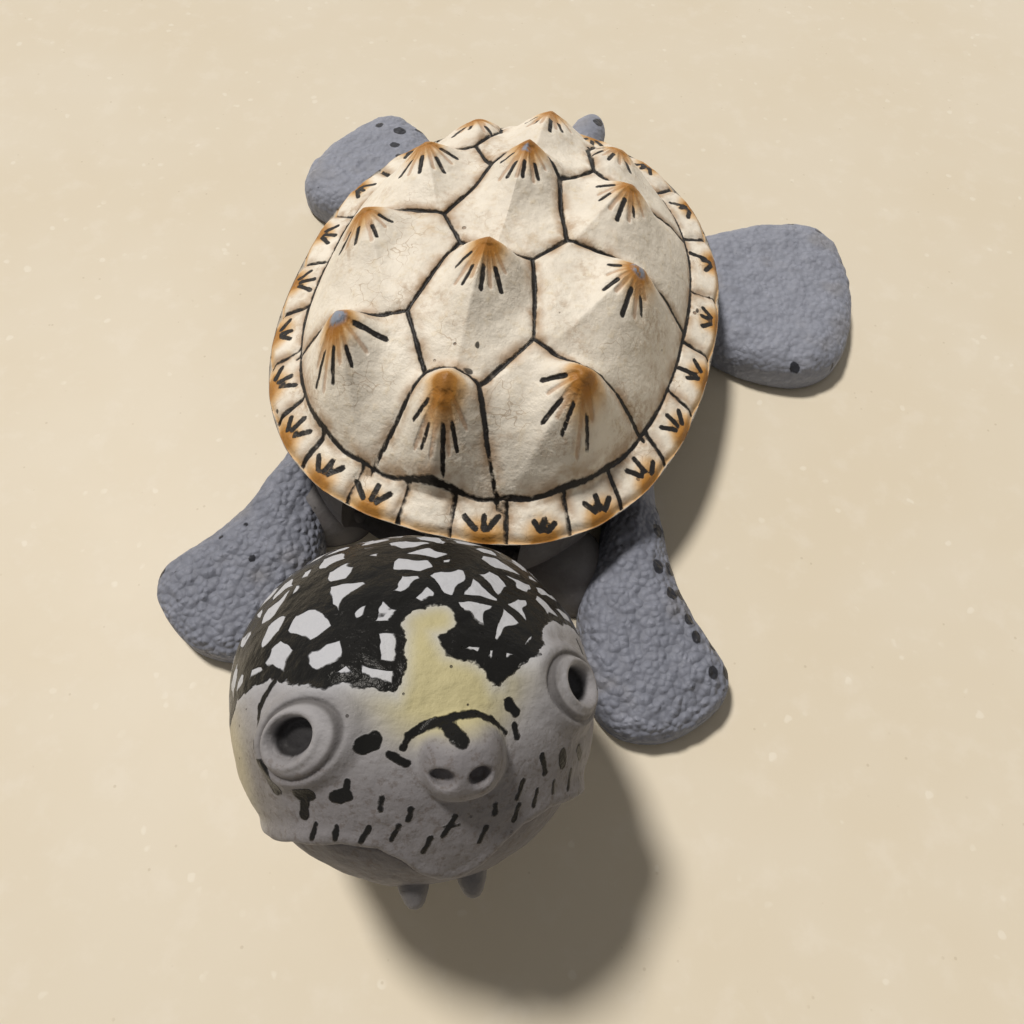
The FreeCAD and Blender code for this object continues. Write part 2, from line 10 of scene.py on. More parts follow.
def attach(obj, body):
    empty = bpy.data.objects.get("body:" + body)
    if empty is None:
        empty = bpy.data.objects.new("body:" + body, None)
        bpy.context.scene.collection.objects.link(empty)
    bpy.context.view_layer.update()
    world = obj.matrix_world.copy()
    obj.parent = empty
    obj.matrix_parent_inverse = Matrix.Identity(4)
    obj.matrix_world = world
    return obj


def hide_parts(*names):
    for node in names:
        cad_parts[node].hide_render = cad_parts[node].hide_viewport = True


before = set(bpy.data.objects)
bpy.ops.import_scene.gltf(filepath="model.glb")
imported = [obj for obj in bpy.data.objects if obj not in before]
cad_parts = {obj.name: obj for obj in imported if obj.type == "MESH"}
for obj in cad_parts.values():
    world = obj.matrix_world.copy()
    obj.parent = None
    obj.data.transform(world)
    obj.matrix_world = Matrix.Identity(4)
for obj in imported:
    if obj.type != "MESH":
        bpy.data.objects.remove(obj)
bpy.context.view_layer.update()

bl_info = {
    "name": "Turtle figurine",
    "version": (1, 0, 0),
    "blender": (4, 5, 0),
    "location": "3D View > Sidebar > Turtle",
    "description": "Models and paints the cast turtle figurine over its frame",
    "category": "Object",
}

# Lengths below are in millimetres, and MM brings them to metres. The turtle faces -Y, its own left is +X.
MM = 0.001

# Shell outline and dome, as in the part's source
SHELL_HALF_WIDTH = 36.2
SHELL_FRONT = 45.6
SHELL_REAR = 46.0
RIM_UNDERSIDE = 14.6
RIM_EDGE = 1.8
BAND_WIDTH = 5.6
BAND_RISE = 2.0
DOME_RISE = 15.4
SHELL_WALL = 2.4
SHELL_LEDGE = 8.6
SHELL_RINGS = 150
SHELL_SPOKES = 480
# How the rim turns in under the shell: insets from its outline and heights, then shares of the ledge's
# inner edge
RIM_STEPS = ((0.1, 15.6), (0.35, 15.0), (0.9, RIM_UNDERSIDE), (SHELL_LEDGE - 0.6, RIM_UNDERSIDE),
             (SHELL_LEDGE, RIM_UNDERSIDE + 0.8))
ROOF_SHARES = (0.92, 0.84, 0.72, 0.58, 0.42, 0.26, 0.1)
# The boss under the roof that holds the wire eye
HANGER_ALONG = -27.0
BOSS_FOOT, BOSS_TOP = 28.5, 30.3
BOSS_RADII = (3.2, 3.6)

# Knobs: place across and along, height; the middle ones lie on the keel
MIDDLE_KNOBS = ((0, -31.9, 5.6), (0, -11.1, 5.9), (0, 12.0, 4.8), (0, 28.9, 4.1))
SIDE_KNOBS = ((17.7, -25.3, 5.9), (21.0, -4.9, 4.2), (16.6, 11.5, 3.9), (12.7, 26.6, 2.5))
KNOBS = MIDDLE_KNOBS + SIDE_KNOBS + tuple((-across, along, rise) for across, along, rise in SIDE_KNOBS)
KNOB_WIDTH, KNOB_AHEAD, KNOB_BEHIND = 8.4, 15.0, 6.0
# Worn spots where the bare casting shows: across, along, radius and strength
CHIPS = ((-17.6, -25.2, 1.5, 1.0), (21, -4.9, 1.3, 1.0), (0, 10.6, 0.9, 0.9))

# Seams between the scutes on the turtle's left, mirrored for its right
SEAMS = (
    ((9.9, -40.0), (6.6, -34.4), (3.8, -28.9)),
    ((3.8, -28.9), (2.2, -28.0), (0.0, -27.8)),
    ((3.8, -28.9), (9.3, -20.1)),
    ((9.3, -20.1), (7.6, -13.0), (5.6, -6.3)),
    ((5.6, -6.3), (3.0, -6.9), (0.0, -7.7)),
    ((5.6, -6.3), (9.6, -1.3)),
    ((9.6, -1.3), (7.2, 5.0), (5.5, 10.9)),
    ((5.5, 10.9), (2.8, 13.6), (0.0, 14.9)),
    ((5.5, 10.9), (9.9, 17.0)),
    ((9.9, 17.0), (7.6, 24.0), (9.0, 31.0), (11.4, 38.2)),
    ((9.3, -20.1), (13.5, -21.6), (17.2, -22.4), (22.0, -21.2), (28.0, -22.6)),
    ((9.6, -1.3), (15.0, -1.2), (20.5, -1.8), (25.0, -0.6), (30.4, -0.4)),
    ((9.9, 17.0), (13.0, 15.4), (16.3, 14.3), (21.0, 16.0), (26.8, 19.6)),
)
# Seams of the marginal scutes: degrees round from straight ahead
MARGINAL_SEAMS = (5.0, 15.5, 27.5, 39.0, 53.0, 68.0, 86.5, 107.0, 128.0, 147.0, 163.0, 180.0)

# Fan strokes beside a knob: heading towards the keel, start and length, and whether the stroke is black
MIDDLE_FAN = ((-50, 2.6, 2.4, 1), (-30, 3.0, 3.2, 0), (-16, 4.0, 2.5, 1), (-3, 3.2, 3.4, 0), (9, 3.9, 3.2, 1),
              (21, 3.0, 3.4, 0), (32, 3.6, 2.4, 1), (52, 2.4, 2.0, 0))
SIDE_FAN = ((84, 2.6, 3.2, 1), (60, 2.6, 2.6, 0), (40, 4.0, 2.6, 1), (24, 3.0, 3.0, 0), (9, 3.4, 3.6, 1),
            (-9, 3.4, 3.2, 0), (-26, 3.4, 2.8, 1), (-42, 2.2, 1.8, 0))

# Head sizes, in the head's own frame: it looks along -Y and its crown is up
HEAD_HALF = np.array((20.5, 24.0, 18.0))
SNOUT_CENTRE = np.array((0.9, -18.6, 3.3))
SNOUT_HALF = np.array((4.1, 8.1, 3.8))
SKULL_POWER = 2.15
EYE_CENTRES = {-1: np.array((-12.9, -18.0, 4.8)), 1: np.array((13.9, -17.0, 6.0))}
# An eye's oval: slope of its long axis and its half sizes' scale, and how far back its pit lies
EYE_LEAN = 0.6
EYE_LONG, EYE_SHORT = 1.4, 0.98
PIT_BACK = 0.8
# The nostrils: their middle across, how far each lies from it, and their height
NOSTRIL_ACROSS, NOSTRIL_APART, NOSTRIL_HEIGHT = 0.3, 1.6, 3.2
BARBEL_FOOT = (3.0, -15.6, -11.4)
# The mouth's line: height over distance from the middle
MOUTH_ACROSS = (0, 1.2, 3.1, 4.8, 6.9, 10.0, 12.9, 14.2, 16.2, 18.0, 30.0)
MOUTH_HEIGHT = (-9.8, -9.6, -8.3, -6.6, -5.1, -4.8, -5.8, -6.4, -8.6, -11.5, -24.0)
# Turned pieces: stations along the axis and radii
NECK_PROFILE = ((-40.5, 0), (-40.2, 1.3), (-39.2, 2.5), (-37.4, 3.4), (-34.5, 4.0), (-30.5, 4.0),
                (-23.6, 3.6), (-0.3, 3.6), (0.0, 3.3), (0.0, 3.0), (6.7, 3.0), (7.0, 2.7), (7.0, 0))
BARBEL_PROFILE = ((0, 0), (0, 1.9), (1.4, 1.8), (2.8, 1.5), (3.9, 1.05), (4.4, 0.65), (4.65, 0))
TAIL_PROFILE = ((0.4, 0), (0.4, 4.9), (4, 4.8), (9, 4.5), (14, 4.1), (18.5, 3.8), (21.5, 3.3), (23.6, 2.3),
                (24.7, 1.2), (25.0, 0))

# Lower edge of the black net on the crown: longitude from straight ahead and latitude, degrees
CROWN_EDGE = (
    (-180, 0), (-130, -6), (-100, -8), (-84, -4), (-72, 8), (-62, 18), (-52, 23.5), (-40, 24.1), (-34, 23.8),
    (-28, 24.9), (-22.5, 25.3), (-17, 24.5), (-12, 22.5), (-10.4, 26), (-9.8, 33), (-9.6, 44.5), (-4.1, 46.8),
    (-0.2, 46.5), (-0.1, 37), (2.2, 31.8), (8.5, 29.3), (12.0, 26), (12.5, 22), (15, 21.9), (16.8, 24.6),
    (24.7, 25.6), (32.9, 28.8), (38.9, 32.6), (49.8, 31.8), (62, 26), (74, 12), (86, -2), (100, -8),
    (130, -6), (180, 0),
)
# The upper corner of the bare notch in the net, as longitudes and latitudes with a half width in millimetres
CROWN_NOTCH = ((-4.5, 42.0), (2.5, 43.0), 1.9)

# The paint of the face is measured on a ball round the head's middle
HEAD_BALL = 23.0
# Painted marks: start, end and half width
FACE_MARKS = (
    ((-7.7, -21.5, 5.1), (-6.8, -21.8, 5.6), 0.8), ((-5.5, -22.6, 4.4), (-4.3, -24.0, 3.7), 0.36),
    ((-4.5, -23.7, 5.2), (-3.9, -23.4, 6.2), 0.32), ((-3.9, -23.4, 6.2), (-2.7, -23.7, 6.8), 0.36),
    ((-2.7, -23.7, 6.8), (-1.2, -23.6, 7.2), 0.4), ((-1.2, -23.6, 7.2), (0.7, -23.0, 7.4), 0.34),
    ((0.7, -23.0, 7.4), (2.6, -22.7, 7.2), 0.28), ((2.6, -22.7, 7.2), (4.2, -22.7, 6.3), 0.28),
    ((4.2, -22.7, 6.3), (5.3, -22.7, 4.9), 0.24), ((-0.3, -23.9, 6.8), (0.4, -24.4, 6.1), 0.62),
    ((5.9, -21.1, 7.1), (6.5, -21.3, 6.3), 0.55), ((6.3, -22.0, 5.2), (6.4, -22.3, 4.2), 0.3),
    ((-16.4, -15.4, 1.2), (-15.7, -16.6, -0.3), 1.0), ((-13.4, -18.8, -0.2), (-12.6, -19.4, 0.0), 0.72),
    ((-13.0, -19.1, -0.4), (-13.2, -18.9, -2.4), 0.5), ((-10.3, -21.1, 0.2), (-9.5, -21.6, 0.5), 0.66),
    ((-9.5, -21.6, 0.7), (-9.3, -21.7, 1.8), 0.3), ((9.0, -21.9, 1.7), (9.4, -21.8, -0.3), 0.28),
    ((11.5, -20.3, 0.6), (11.7, -20.2, -0.5), 0.62), ((16.4, -13.6, 4.2), (16.8, -13.2, 2.2), 0.7),
    ((13.9, -17.6, -0.4), (14.4, -17.2, -1.6), 0.5), ((-15.4, -13.0, 8.6), (-16.8, -12.7, 6.0), 0.34),
    ((-16.8, -12.7, 6.0), (-16.8, -14.1, 2.8), 0.26), ((17.0, -10.4, 8.4), (17.6, -11.0, 4.6), 0.3),
)
# Middles of the short whisker strokes
WHISKERS = (
    (-12.2, -19.4, -3.6), (-10.4, -20.8, -3.4), (-8.0, -22.2, -3.3), (-5.4, -23.1, -3.1), (-6.5, -23.0, 0.0),
    (-4.1, -23.9, -1.2), (-2.6, -23.5, -4.6), (-0.5, -23.9, -2.9), (3.9, -23.6, -2.2), (2.7, -23.5, -4.6),
    (6.5, -23.0, -0.9), (8.2, -22.2, -2.4), (10.4, -21.0, -2.4), (6.1, -22.9, -3.2), (12.6, -19.2, -2.8),
)

# A flipper's thickness before it is shaped and the size of its faces; the height of the tail's axis
FLIPPER_TOP = 9.0
FLIPPER_VOXEL = 0.5
TAIL_HEIGHT = 6.2
# Flipper outlines: along and outward as shares of the flipper's length and half width
FRONT_OUTLINE = (
    (-0.13, 0.36), (0.11, 0.3), (0.27, 0.37), (0.44, 0.45), (0.59, 0.64), (0.7, 0.86), (0.79, 0.99),
    (0.88, 0.88), (0.955, 0.54), (0.998, 0.14), (0.99, -0.28), (0.935, -0.56), (0.835, -0.72),
    (0.7, -0.77), (0.57, -0.78), (0.44, -0.62), (0.3, -0.46), (0.15, -0.38), (-0.13, -0.4),
)
REAR_OUTLINE = (
    (-0.2, 0.45), (0.1, 0.5), (0.28, 0.67), (0.46, 0.86), (0.64, 0.98), (0.8, 1.0), (0.91, 0.84),
    (0.97, 0.55), (1.0, 0.0), (0.96, -0.54), (0.87, -0.85), (0.72, -1.0), (0.51, -0.98), (0.33, -0.85),
    (0.15, -0.67), (-0.2, -0.55),
)
# Spots on a flipper: along, outward as a share of its half width, half sizes along and across
LEFT_FRONT_SPOTS = (
    (0.298, 0.24, 0.95, 0.52), (0.297, 0.39, 0.9, 0.5), (0.439, 0.19, 1.0, 0.56), (0.431, 0.37, 1.0, 0.52),
    (0.533, 0.33, 0.85, 0.52), (0.525, 0.47, 0.8, 0.46), (0.621, 0.52, 0.8, 0.46), (0.683, 0.58, 0.85, 0.46),
    (0.696, 0.81, 0.8, 0.42), (0.799, 0.74, 0.75, 0.5), (0.785, 0.94, 0.9, 0.5), (0.2, 0.3, 0.6, 0.4),
)
RIGHT_FRONT_SPOTS = (
    (0.643, 0.82, 0.7, 0.42), (0.596, 0.7, 0.6, 0.36), (0.48, 0.5, 0.35, 0.3), (0.62, 0.42, 0.3, 0.26),
    (0.66, -0.1, 0.42, 0.34), (0.55, 0.2, 0.32, 0.26), (0.38, 0.4, 0.42, 0.34), (0.8, 0.95, 0.7, 0.5),
)
LEFT_REAR_SPOTS = (
    (0.42, 0.86, 0.5, 0.36), (0.55, 0.9, 0.7, 0.42), (0.68, 0.92, 0.6, 0.42), (0.82, 0.84, 0.6, 0.36),
    (0.95, 0.5, 0.5, 0.36), (0.7, -0.95, 0.8, 0.42), (0.9, -0.8, 0.5, 0.4),
)
RIGHT_REAR_SPOTS = (
    (0.784, 0.51, 0.6, 0.55), (0.631, 0.58, 0.9, 0.8), (0.557, 0.31, 0.8, 0.6), (0.573, 0.84, 0.7, 0.5),
    (0.46, 0.16, 0.5, 0.4),
)

# Limbs: side, root across and along, heading from straight ahead, length, half width, outline and spots
LIMBS = {
    "front_left": (1, 27.46, -18.92, 15.0, 45.5, 12.5, FRONT_OUTLINE, LEFT_FRONT_SPOTS),
    "front_right": (-1, 23.71, -24.81, 5.0, 43.2, 12.5, FRONT_OUTLINE, RIGHT_FRONT_SPOTS),
    "rear_left": (1, 23.09, 24.44, 96.0, 39.0, 19.3, REAR_OUTLINE, LEFT_REAR_SPOTS),
    "rear_right": (-1, 20.59, 30.65, 112.0, 30.8, 15.4, REAR_OUTLINE, RIGHT_REAR_SPOTS),
}
# The tail's place as the limbs': side, root across and along, heading
TAIL_PLACE = (1, 1.56, 39.8, 177.0)
TAIL_SPOTS = (((-2.6, -22.0, 9.0), (-1.6, -20.0, 9.2), 1.1), ((2.9, -14, 9), (2.8, -12, 9), 0.6))
# On a flipper's spots a step in height counts for little, and each spot is swollen to the photograph's size
SPOT_FLATNESS = 0.12
SPOT_SWELL = 1.55

# The body's wall, as in the part's source: its middle level, its inset from the shell's outline at the top,
# and what its foot, middle and top add to that inset and to the chest's reach ahead
BODY_MIDDLE = 7.3
BODY_INSET = 5.0
BODY_NARROWING = (4.6, 1.15, 0)
BODY_CHEST = (3.8, 7.6, 0)
# The chest's pads: half sizes, place across and along, and heading
SHOULDER_HALF = (8.4, 7.4, 7.4)
SHOULDER_ACROSS, SHOULDER_ALONG = 20.6, -38.6
SHOULDER_HEADING = -16

# The photograph's camera: place, its axes right, up and forward, and the focal length for a 36 mm picture
PHOTO_PLACE = (22.75, -92.95, 119.56)
PHOTO_AXES = ((0.9654, 0.2587, 0.0321), (-0.2432, 0.8494, 0.4684), (-0.0939, 0.4600, -0.8829))
PHOTO_WIDTH, PHOTO_LENS = 36.0, 28.125
# Half the table's width
TABLE_HALF = 1200.0
# Lights: the sun's direction, spread in degrees and colour, and the colours from all round
KEY_WAY = (0.41, -0.25, -0.877)
KEY_SPREAD = 9
KEY_COLOUR = (1.0, 0.945, 0.87)
FILL_COLOUR = (1.0, 0.93, 0.84, 1)
WHITE = (1, 1, 1, 1)


def shift(*offset):
    return Matrix.Translation(Vector(offset))


def rotation(degrees, axis):
    return Matrix.Rotation(math.radians(degrees), 4, axis)


HEAD_PLACE = shift(7.66, -70.43, 25.5) @ rotation(37.3, "Z") @ rotation(-48.8, "X") @ rotation(15.4, "Y")
NECK_PLACE = (shift(0, HANGER_ALONG, 0) @ rotation(10, "Z") @ shift(0, 5.0, 10.6)
              @ Matrix.Rotation(math.atan2(2.1, 23.6), 4, "X"))


def paint(code):
    """A hex colour as the linear values that a shader socket takes."""
    parts = [int(code[place:place + 2], 16) / 255 for place in (0, 2, 4)]
    return tuple(p / 12.92 if p <= 0.04045 else ((p + 0.055) / 1.055) ** 2.4 for p in parts)


def step_up(low, high, value):
    """0 at low, 1 at high, smooth between them; low may be the larger."""
    share = np.clip((value - low) / (high - low), 0, 1)
    return share * share * (3 - 2 * share)


def bell(value, width):
    return np.exp(-(value / width) ** 2)


def ripple(points, size, octaves=2):
    """Smooth noise at each point, about -1 to 1, with waves of the given size."""
    return np.array([noise.fractal(Vector(point) / size, 1.0, 2.0, octaves) for point in points])


def distance_to_runs(points, runs):
    """Each point's distance to the nearest run, less that run's half width."""
    nearest = np.full(len(points), 50.0)
    for start, end, half_width in runs:
        start, along = np.array(start, float), np.array(end, float) - np.array(start, float)
        share = np.clip((points - start) @ along / max(along @ along, 1e-9), 0, 1)
        away = np.linalg.norm(points - start - share[:, None] * along, axis=1)
        nearest = np.minimum(nearest, away - half_width)
    return nearest


def unit(vector):
    vector = np.asarray(vector, float)
    return vector / np.linalg.norm(vector)


def on_ball(vector):
    """The point of the head's ball in a vector's direction."""
    return HEAD_BALL * unit(vector)


def from_angles(longitude, latitude):
    """The point of the head's ball at a longitude from straight ahead and a latitude, in degrees."""
    turned_by, lift = math.radians(longitude), math.radians(latitude)
    way = (math.sin(turned_by) * math.cos(lift), -math.cos(turned_by) * math.cos(lift), math.sin(lift))
    return HEAD_BALL * np.array(way)


def colour_setting(name, description, code):
    return FloatVectorProperty(name=name, description=description, subtype="COLOR", size=3, min=0, max=1,
                               default=paint(code))


def length_setting(name, description, default, lowest=0.0):
    return FloatProperty(name=name, description=description, unit="LENGTH", default=default * MM,
                         min=lowest * MM)


# Settings that a user would change
class ShellSettings(bpy.types.PropertyGroup):
    seam_width: length_setting("Seam width", "Width of the inked seams between scutes", 0.66)
    seam_depth: length_setting("Seam depth", "Depth of the grooves between scutes", 0.4)
    cream: colour_setting("Cream", "Main colour of the shell", "f5eee1")
    ochre: colour_setting("Ochre", "Stain round the knobs", "ad7628")
    ink: colour_setting("Ink", "Black paint of the seams and strokes", "17130f")


class HeadSettings(bpy.types.PropertyGroup):
    skin: colour_setting("Skin", "Pale grey of the head", "a09fa3")
    yellow: colour_setting("Yellow", "Wash on the forehead and snout", "beb68e")
    net_cell: length_setting("Net cell", "Size of the pale cells in the crown's net", 4.1, 0.5)


class LimbSettings(bpy.types.PropertyGroup):
    slate: colour_setting("Slate", "Blue-grey of the flippers and tail", "868a98")
    grain: length_setting("Grain", "Size of the stippled bumps", 1.1, 0.2)


class FittingSettings(bpy.types.PropertyGroup):
    belly: colour_setting("Belly", "Dark grey of the body under the shell", "6d6b6c")
    steel: colour_setting("Steel", "Colour of the wire and the slug", "a8a8ab")


class StageSettings(bpy.types.PropertyGroup):
    table: colour_setting("Table", "Colour of the table top", "e3dac8")
    key: FloatProperty(name="Key light", description="Strength of the main light", default=2.85, min=0)
    fill: FloatProperty(name="Fill light", description="Strength of the light from all round", default=0.16,
                        min=0)


# Shader maths: a socket that adds its own Math nodes when it is used in an expression
class Socket:
    def __init__(self, finish, socket):
        self.finish = finish
        self.socket = socket

    def maths(self, operation, *values):
        return self.finish.node("ShaderNodeMath", {"operation": operation}, dict(enumerate(values)))

    def __add__(self, other):
        return self.maths("ADD", self, other)

    def __sub__(self, other):
        return self.maths("SUBTRACT", self, other)

    def __mul__(self, other):
        return self.maths("MULTIPLY", self, other)

    def __rsub__(self, other):
        return self.maths("SUBTRACT", other, self)

    __radd__ = __add__
    __rmul__ = __mul__

    def highest(self, other):
        return self.maths("MAXIMUM", self, other)

    def between(self, low, high):
        """0 at low, 1 at high, smooth between them; low may be the larger."""
        if low > high:
            return 1 - self.between(high, low)
        return self.finish.node("ShaderNodeMapRange", {"interpolation_type": "SMOOTHSTEP"},
                                {"Value": self, "From Min": low, "From Max": high})


class Finish:
    """One material: its node tree, its colour so far, and the ways that nodes are added to it."""

    def __init__(self, name, colour):
        self.colour = tuple(colour)
        self.material = bpy.data.materials.new(name)
        self.material.use_nodes = True
        self.tree = self.material.node_tree
        self.tree.nodes.clear()
        place = self.node("ShaderNodeTexCoord", output="Object")
        self.place = self.vectors("SCALE", {0: place, "Scale": 1 / MM})

    def node(self, kind, settings=None, inputs=None, output=0):
        made = self.tree.nodes.new(kind)
        for name, value in (settings or {}).items():
            setattr(made, name, value)
        for name, value in (inputs or {}).items():
            if isinstance(value, Socket):
                self.tree.links.new(value.socket, made.inputs[name])
            elif isinstance(value, tuple) and len(value) == 3 and made.inputs[name].type == "RGBA":
                made.inputs[name].default_value = (*value, 1)
            else:
                made.inputs[name].default_value = value
        return Socket(self, made.outputs[output])

    def vectors(self, operation, inputs):
        return self.node("ShaderNodeVectorMath", {"operation": operation}, inputs)

    def attribute(self, name):
        return self.node("ShaderNodeAttribute", {"attribute_name": name}, output="Fac")

    def noise(self, size, detail=2.0, roughness=0.5, place=None, output="Fac"):
        return self.node("ShaderNodeTexNoise", {"noise_dimensions": "3D"},
                         {"Vector": place or self.place, "Scale": 1 / size, "Detail": detail,
                          "Roughness": roughness}, output)

    def shifted(self, size, amount):
        """The place moved about by noise, so that a pattern on it looks drawn by hand."""
        drift = self.noise(size, 1.0, output="Color")
        centred = self.vectors("SUBTRACT", {0: drift, 1: (0.5, 0.5, 0.5)})
        return self.vectors("ADD", {0: self.place, 1: self.vectors("SCALE", {0: centred, "Scale": amount})})

    def cells(self, size, feature="F1", place=None, **inputs):
        sockets = {"Vector": place or self.place, "Scale": 1 / size, **inputs}
        return self.node("ShaderNodeTexVoronoi", {"feature": feature}, sockets, "Distance")

    def specks(self, size, low, high, spread, least, most, place=None):
        """Small round specks, in patches only."""
        return self.cells(size, place=place).between(high, low) * self.noise(spread).between(least, most)

    def layer(self, factor, over):
        """Lay a hex code or a setting over the colour so far."""
        over = paint(over) if isinstance(over, str) else tuple(over)
        self.colour = self.node("ShaderNodeMix", {"data_type": "RGBA", "clamp_factor": True},
                                {0: factor, 6: self.colour, 7: over}, 2)

    def surface(self, roughness, height, bump=1.0, metallic=0.0, specular=0.2):
        """Close the tree with the main shader; height is in millimetres."""
        normal = self.node("ShaderNodeBump", inputs={"Strength": bump, "Distance": MM, "Height": height},
                           output="Normal")
        shader = self.node("ShaderNodeBsdfPrincipled",
                           inputs={"Base Color": self.colour, "Roughness": roughness, "Metallic": metallic,
                                   "Specular IOR Level": specular, "Normal": normal})
        out = self.tree.nodes.new("ShaderNodeOutputMaterial")
        self.tree.links.new(shader.socket, out.inputs["Surface"])
        return self.material


# Meshes and pieces
def take_points(bm):
    return np.array([vert.co for vert in bm.verts])


def move_points(bm, points):
    for vert, point in zip(bm.verts, points):
        vert.co = point


def write_masks(bm, masks):
    """Keep masks for the paint on a bmesh's points, so that they stay with them."""
    for name, values in masks.items():
        layer = bm.verts.layers.float.new(name)
        for vert, value in zip(bm.verts, values):
            vert[layer] = float(value)


def fill_masks(bm, painted, values):
    """Give every point that isn't painted the same value in each mask."""
    for name, value in values.items():
        layer = bm.verts.layers.float[name]
        for vert in bm.verts:
            if vert not in painted:
                vert[layer] = value


def add_piece(name, bm, material, body, node):
    """Finish a bmesh as one smooth object on its body."""
    mesh = bpy.data.meshes.new(name)
    bm.to_mesh(mesh)
    bm.free()
    mesh.polygons.foreach_set("use_smooth", [True] * len(mesh.polygons))
    mesh.materials.append(material)
    mesh.update()
    piece = bpy.data.objects.new(name, mesh)
    bpy.context.scene.collection.objects.link(piece)
    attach(piece, body)
    if node:
        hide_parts(node)
    return piece


def turned(profile, sides, place):
    """A round piece turned about its own Y: profile gives stations along it and radii, closed on the axis."""
    bm = bmesh.new()
    line = [bm.verts.new((radius, along, 0)) for along, radius in profile]
    edges = [bm.edges.new(pair) for pair in zip(line, line[1:])]
    bmesh.ops.spin(bm, geom=line + edges, cent=(0, 0, 0), axis=(0, 1, 0), angle=2 * math.pi, steps=sides,
                   use_merge=True)
    bmesh.ops.remove_doubles(bm, verts=bm.verts, dist=0.001)
    bmesh.ops.transform(bm, matrix=place, verts=bm.verts)
    bmesh.ops.recalc_face_normals(bm, faces=bm.faces)
    return bm


def to_metres(bm):
    bmesh.ops.scale(bm, vec=(MM, MM, MM), verts=bm.verts)


def join(bm, other):
    """Add another bmesh's faces to this one."""
    mesh = bpy.data.meshes.new("joined")
    other.to_mesh(mesh)
    other.free()
    bm.from_mesh(mesh)
    bpy.data.meshes.remove(mesh)


# Shell
def outline_reach(angle, half_width=SHELL_HALF_WIDTH, front=SHELL_FRONT, rear=SHELL_REAR):
    along = np.sin(angle)
    power = 2.3 - 0.2 * along
    length = np.where(along > 0, rear, front)
    total = np.abs(np.cos(angle) / half_width) ** power + np.abs(along / length) ** power
    return total ** (-1 / power)


def degrees_round(across, along):
    """How many degrees round from straight ahead a place lies, on either side."""
    return np.degrees(np.abs(np.arctan2(across, -along)))


def ring_share(angle):
    along = np.sin(angle)
    return 1 - BAND_WIDTH / SHELL_HALF_WIDTH * (1 - np.where(along < 0, 0.2, 0.16) * along ** 2)


def dome_height(across, along):
    """The shell's plain dome and marginal band, without knobs."""
    angle = np.arctan2(along, across)
    share = np.hypot(across, along) / outline_reach(angle)
    ring = ring_share(angle)
    dome = DOME_RISE * (1 - (share / ring) ** (3.65 - 0.85 * np.sin(angle)))
    band = -BAND_RISE * (share - ring) / (1 - ring)
    return RIM_UNDERSIDE + RIM_EDGE + BAND_RISE + (dome + band + np.hypot(dome - band, 1.0)) / 2


def knob_height(across, along):
    """Each scute swells forward from its knob, and falls away steeply behind it."""
    total = np.zeros_like(across)
    for x, y, rise in KNOBS:
        ahead = y - along
        reach = np.where(ahead > 0, KNOB_AHEAD, KNOB_BEHIND)
        away = np.clip(np.hypot((across - x) / KNOB_WIDTH, ahead / reach), 0, 1)
        nub = bell(np.hypot(across - x, np.where(ahead > 0, 0.75, 1.1) * ahead), 1.6)
        fan = np.cos(7 * np.arctan2(across - x, np.maximum(ahead, 0.1))) * bell(away - 0.32, 0.2)
        beside = across - x * (1 - 0.028 * ahead)
        ridge = np.exp(-np.abs(beside) / 2.2) * np.clip(1 - np.abs(ahead - 6) / 14, 0, 1)
        total += rise * (0.84 * (1 - away ** 2) ** 2.4 + 0.05 * nub + 0.26 * ridge + 0.03 * fan * (ahead > 0))
    return total


def rim_way(degrees):
    """The direction so many degrees round from the front, the outline's reach and the ring's share."""
    angle = math.radians(degrees - 90)
    way = np.array((math.cos(angle), math.sin(angle)))
    return way, float(outline_reach(np.array(angle))), float(ring_share(np.array(angle)))


def scute_middle(low, high):
    """The angle of a marginal scute's mark, between the angles of its seams."""
    return low * 0.42 + high * 0.58


def seam_runs():
    runs = []
    for line in SEAMS:
        for start, end in zip(line, line[1:]):
            for side in (1, -1):
                runs.append(((side * start[0], start[1]), (side * end[0], end[1]), 0))
    for degrees in MARGINAL_SEAMS:
        for side in (1, -1):
            way, reach, ring = rim_way(side * degrees)
            runs.append((way * reach * ring, way * reach, 0))
    return runs


def fan_runs():
    """Black strokes and tan grooves in front of each knob and on each marginal scute."""
    black, tan = [], []
    for number, (x, y, rise) in enumerate(KNOBS):
        fan = MIDDLE_FAN if x == 0 else SIDE_FAN
        inward = 1 if x == 0 else -np.sign(x)
        for place, (heading, start, length, inked) in enumerate(fan):
            vary = noise.noise(Vector((number * 3.7, place * 1.9, 0.5)))
            angle = math.radians(inward * heading + 9 * vary)
            way = np.array((math.sin(angle), -math.cos(angle)))
            length = length * (0.9 + 0.5 * vary) * (0.75 + 0.05 * rise)
            foot = np.array((x, y)) + way * start
            half_width = 0.3 + 0.1 * vary
            (black if inked else tan).append((foot, foot + way * length, half_width if inked else 0.14))
            tan.append((np.array((x, y)) + way * 1.2, foot + way * length * 0.7, 0.08))
    for side in (1, -1):
        for number, (low, high) in enumerate(zip(MARGINAL_SEAMS, MARGINAL_SEAMS[1:]), 1):
            way, reach, _ = rim_way(side * scute_middle(low, high))
            foot = way * reach * 0.985
            for place, heading in enumerate((-38, 2, 40)):
                vary = noise.noise(Vector((number * 2.3, side * 4.1, place * 5.3)))
                turn = math.atan2(way[1], way[0]) + math.radians(heading * side + 22 * vary)
                inward = -np.array((math.cos(turn), math.sin(turn)))
                start = foot + inward * (1.3 + 0.7 * vary)
                (black if vary > -0.62 else tan).append((start, start + inward * (2.1 + 1.5 * vary), 0.4))
    return black, tan


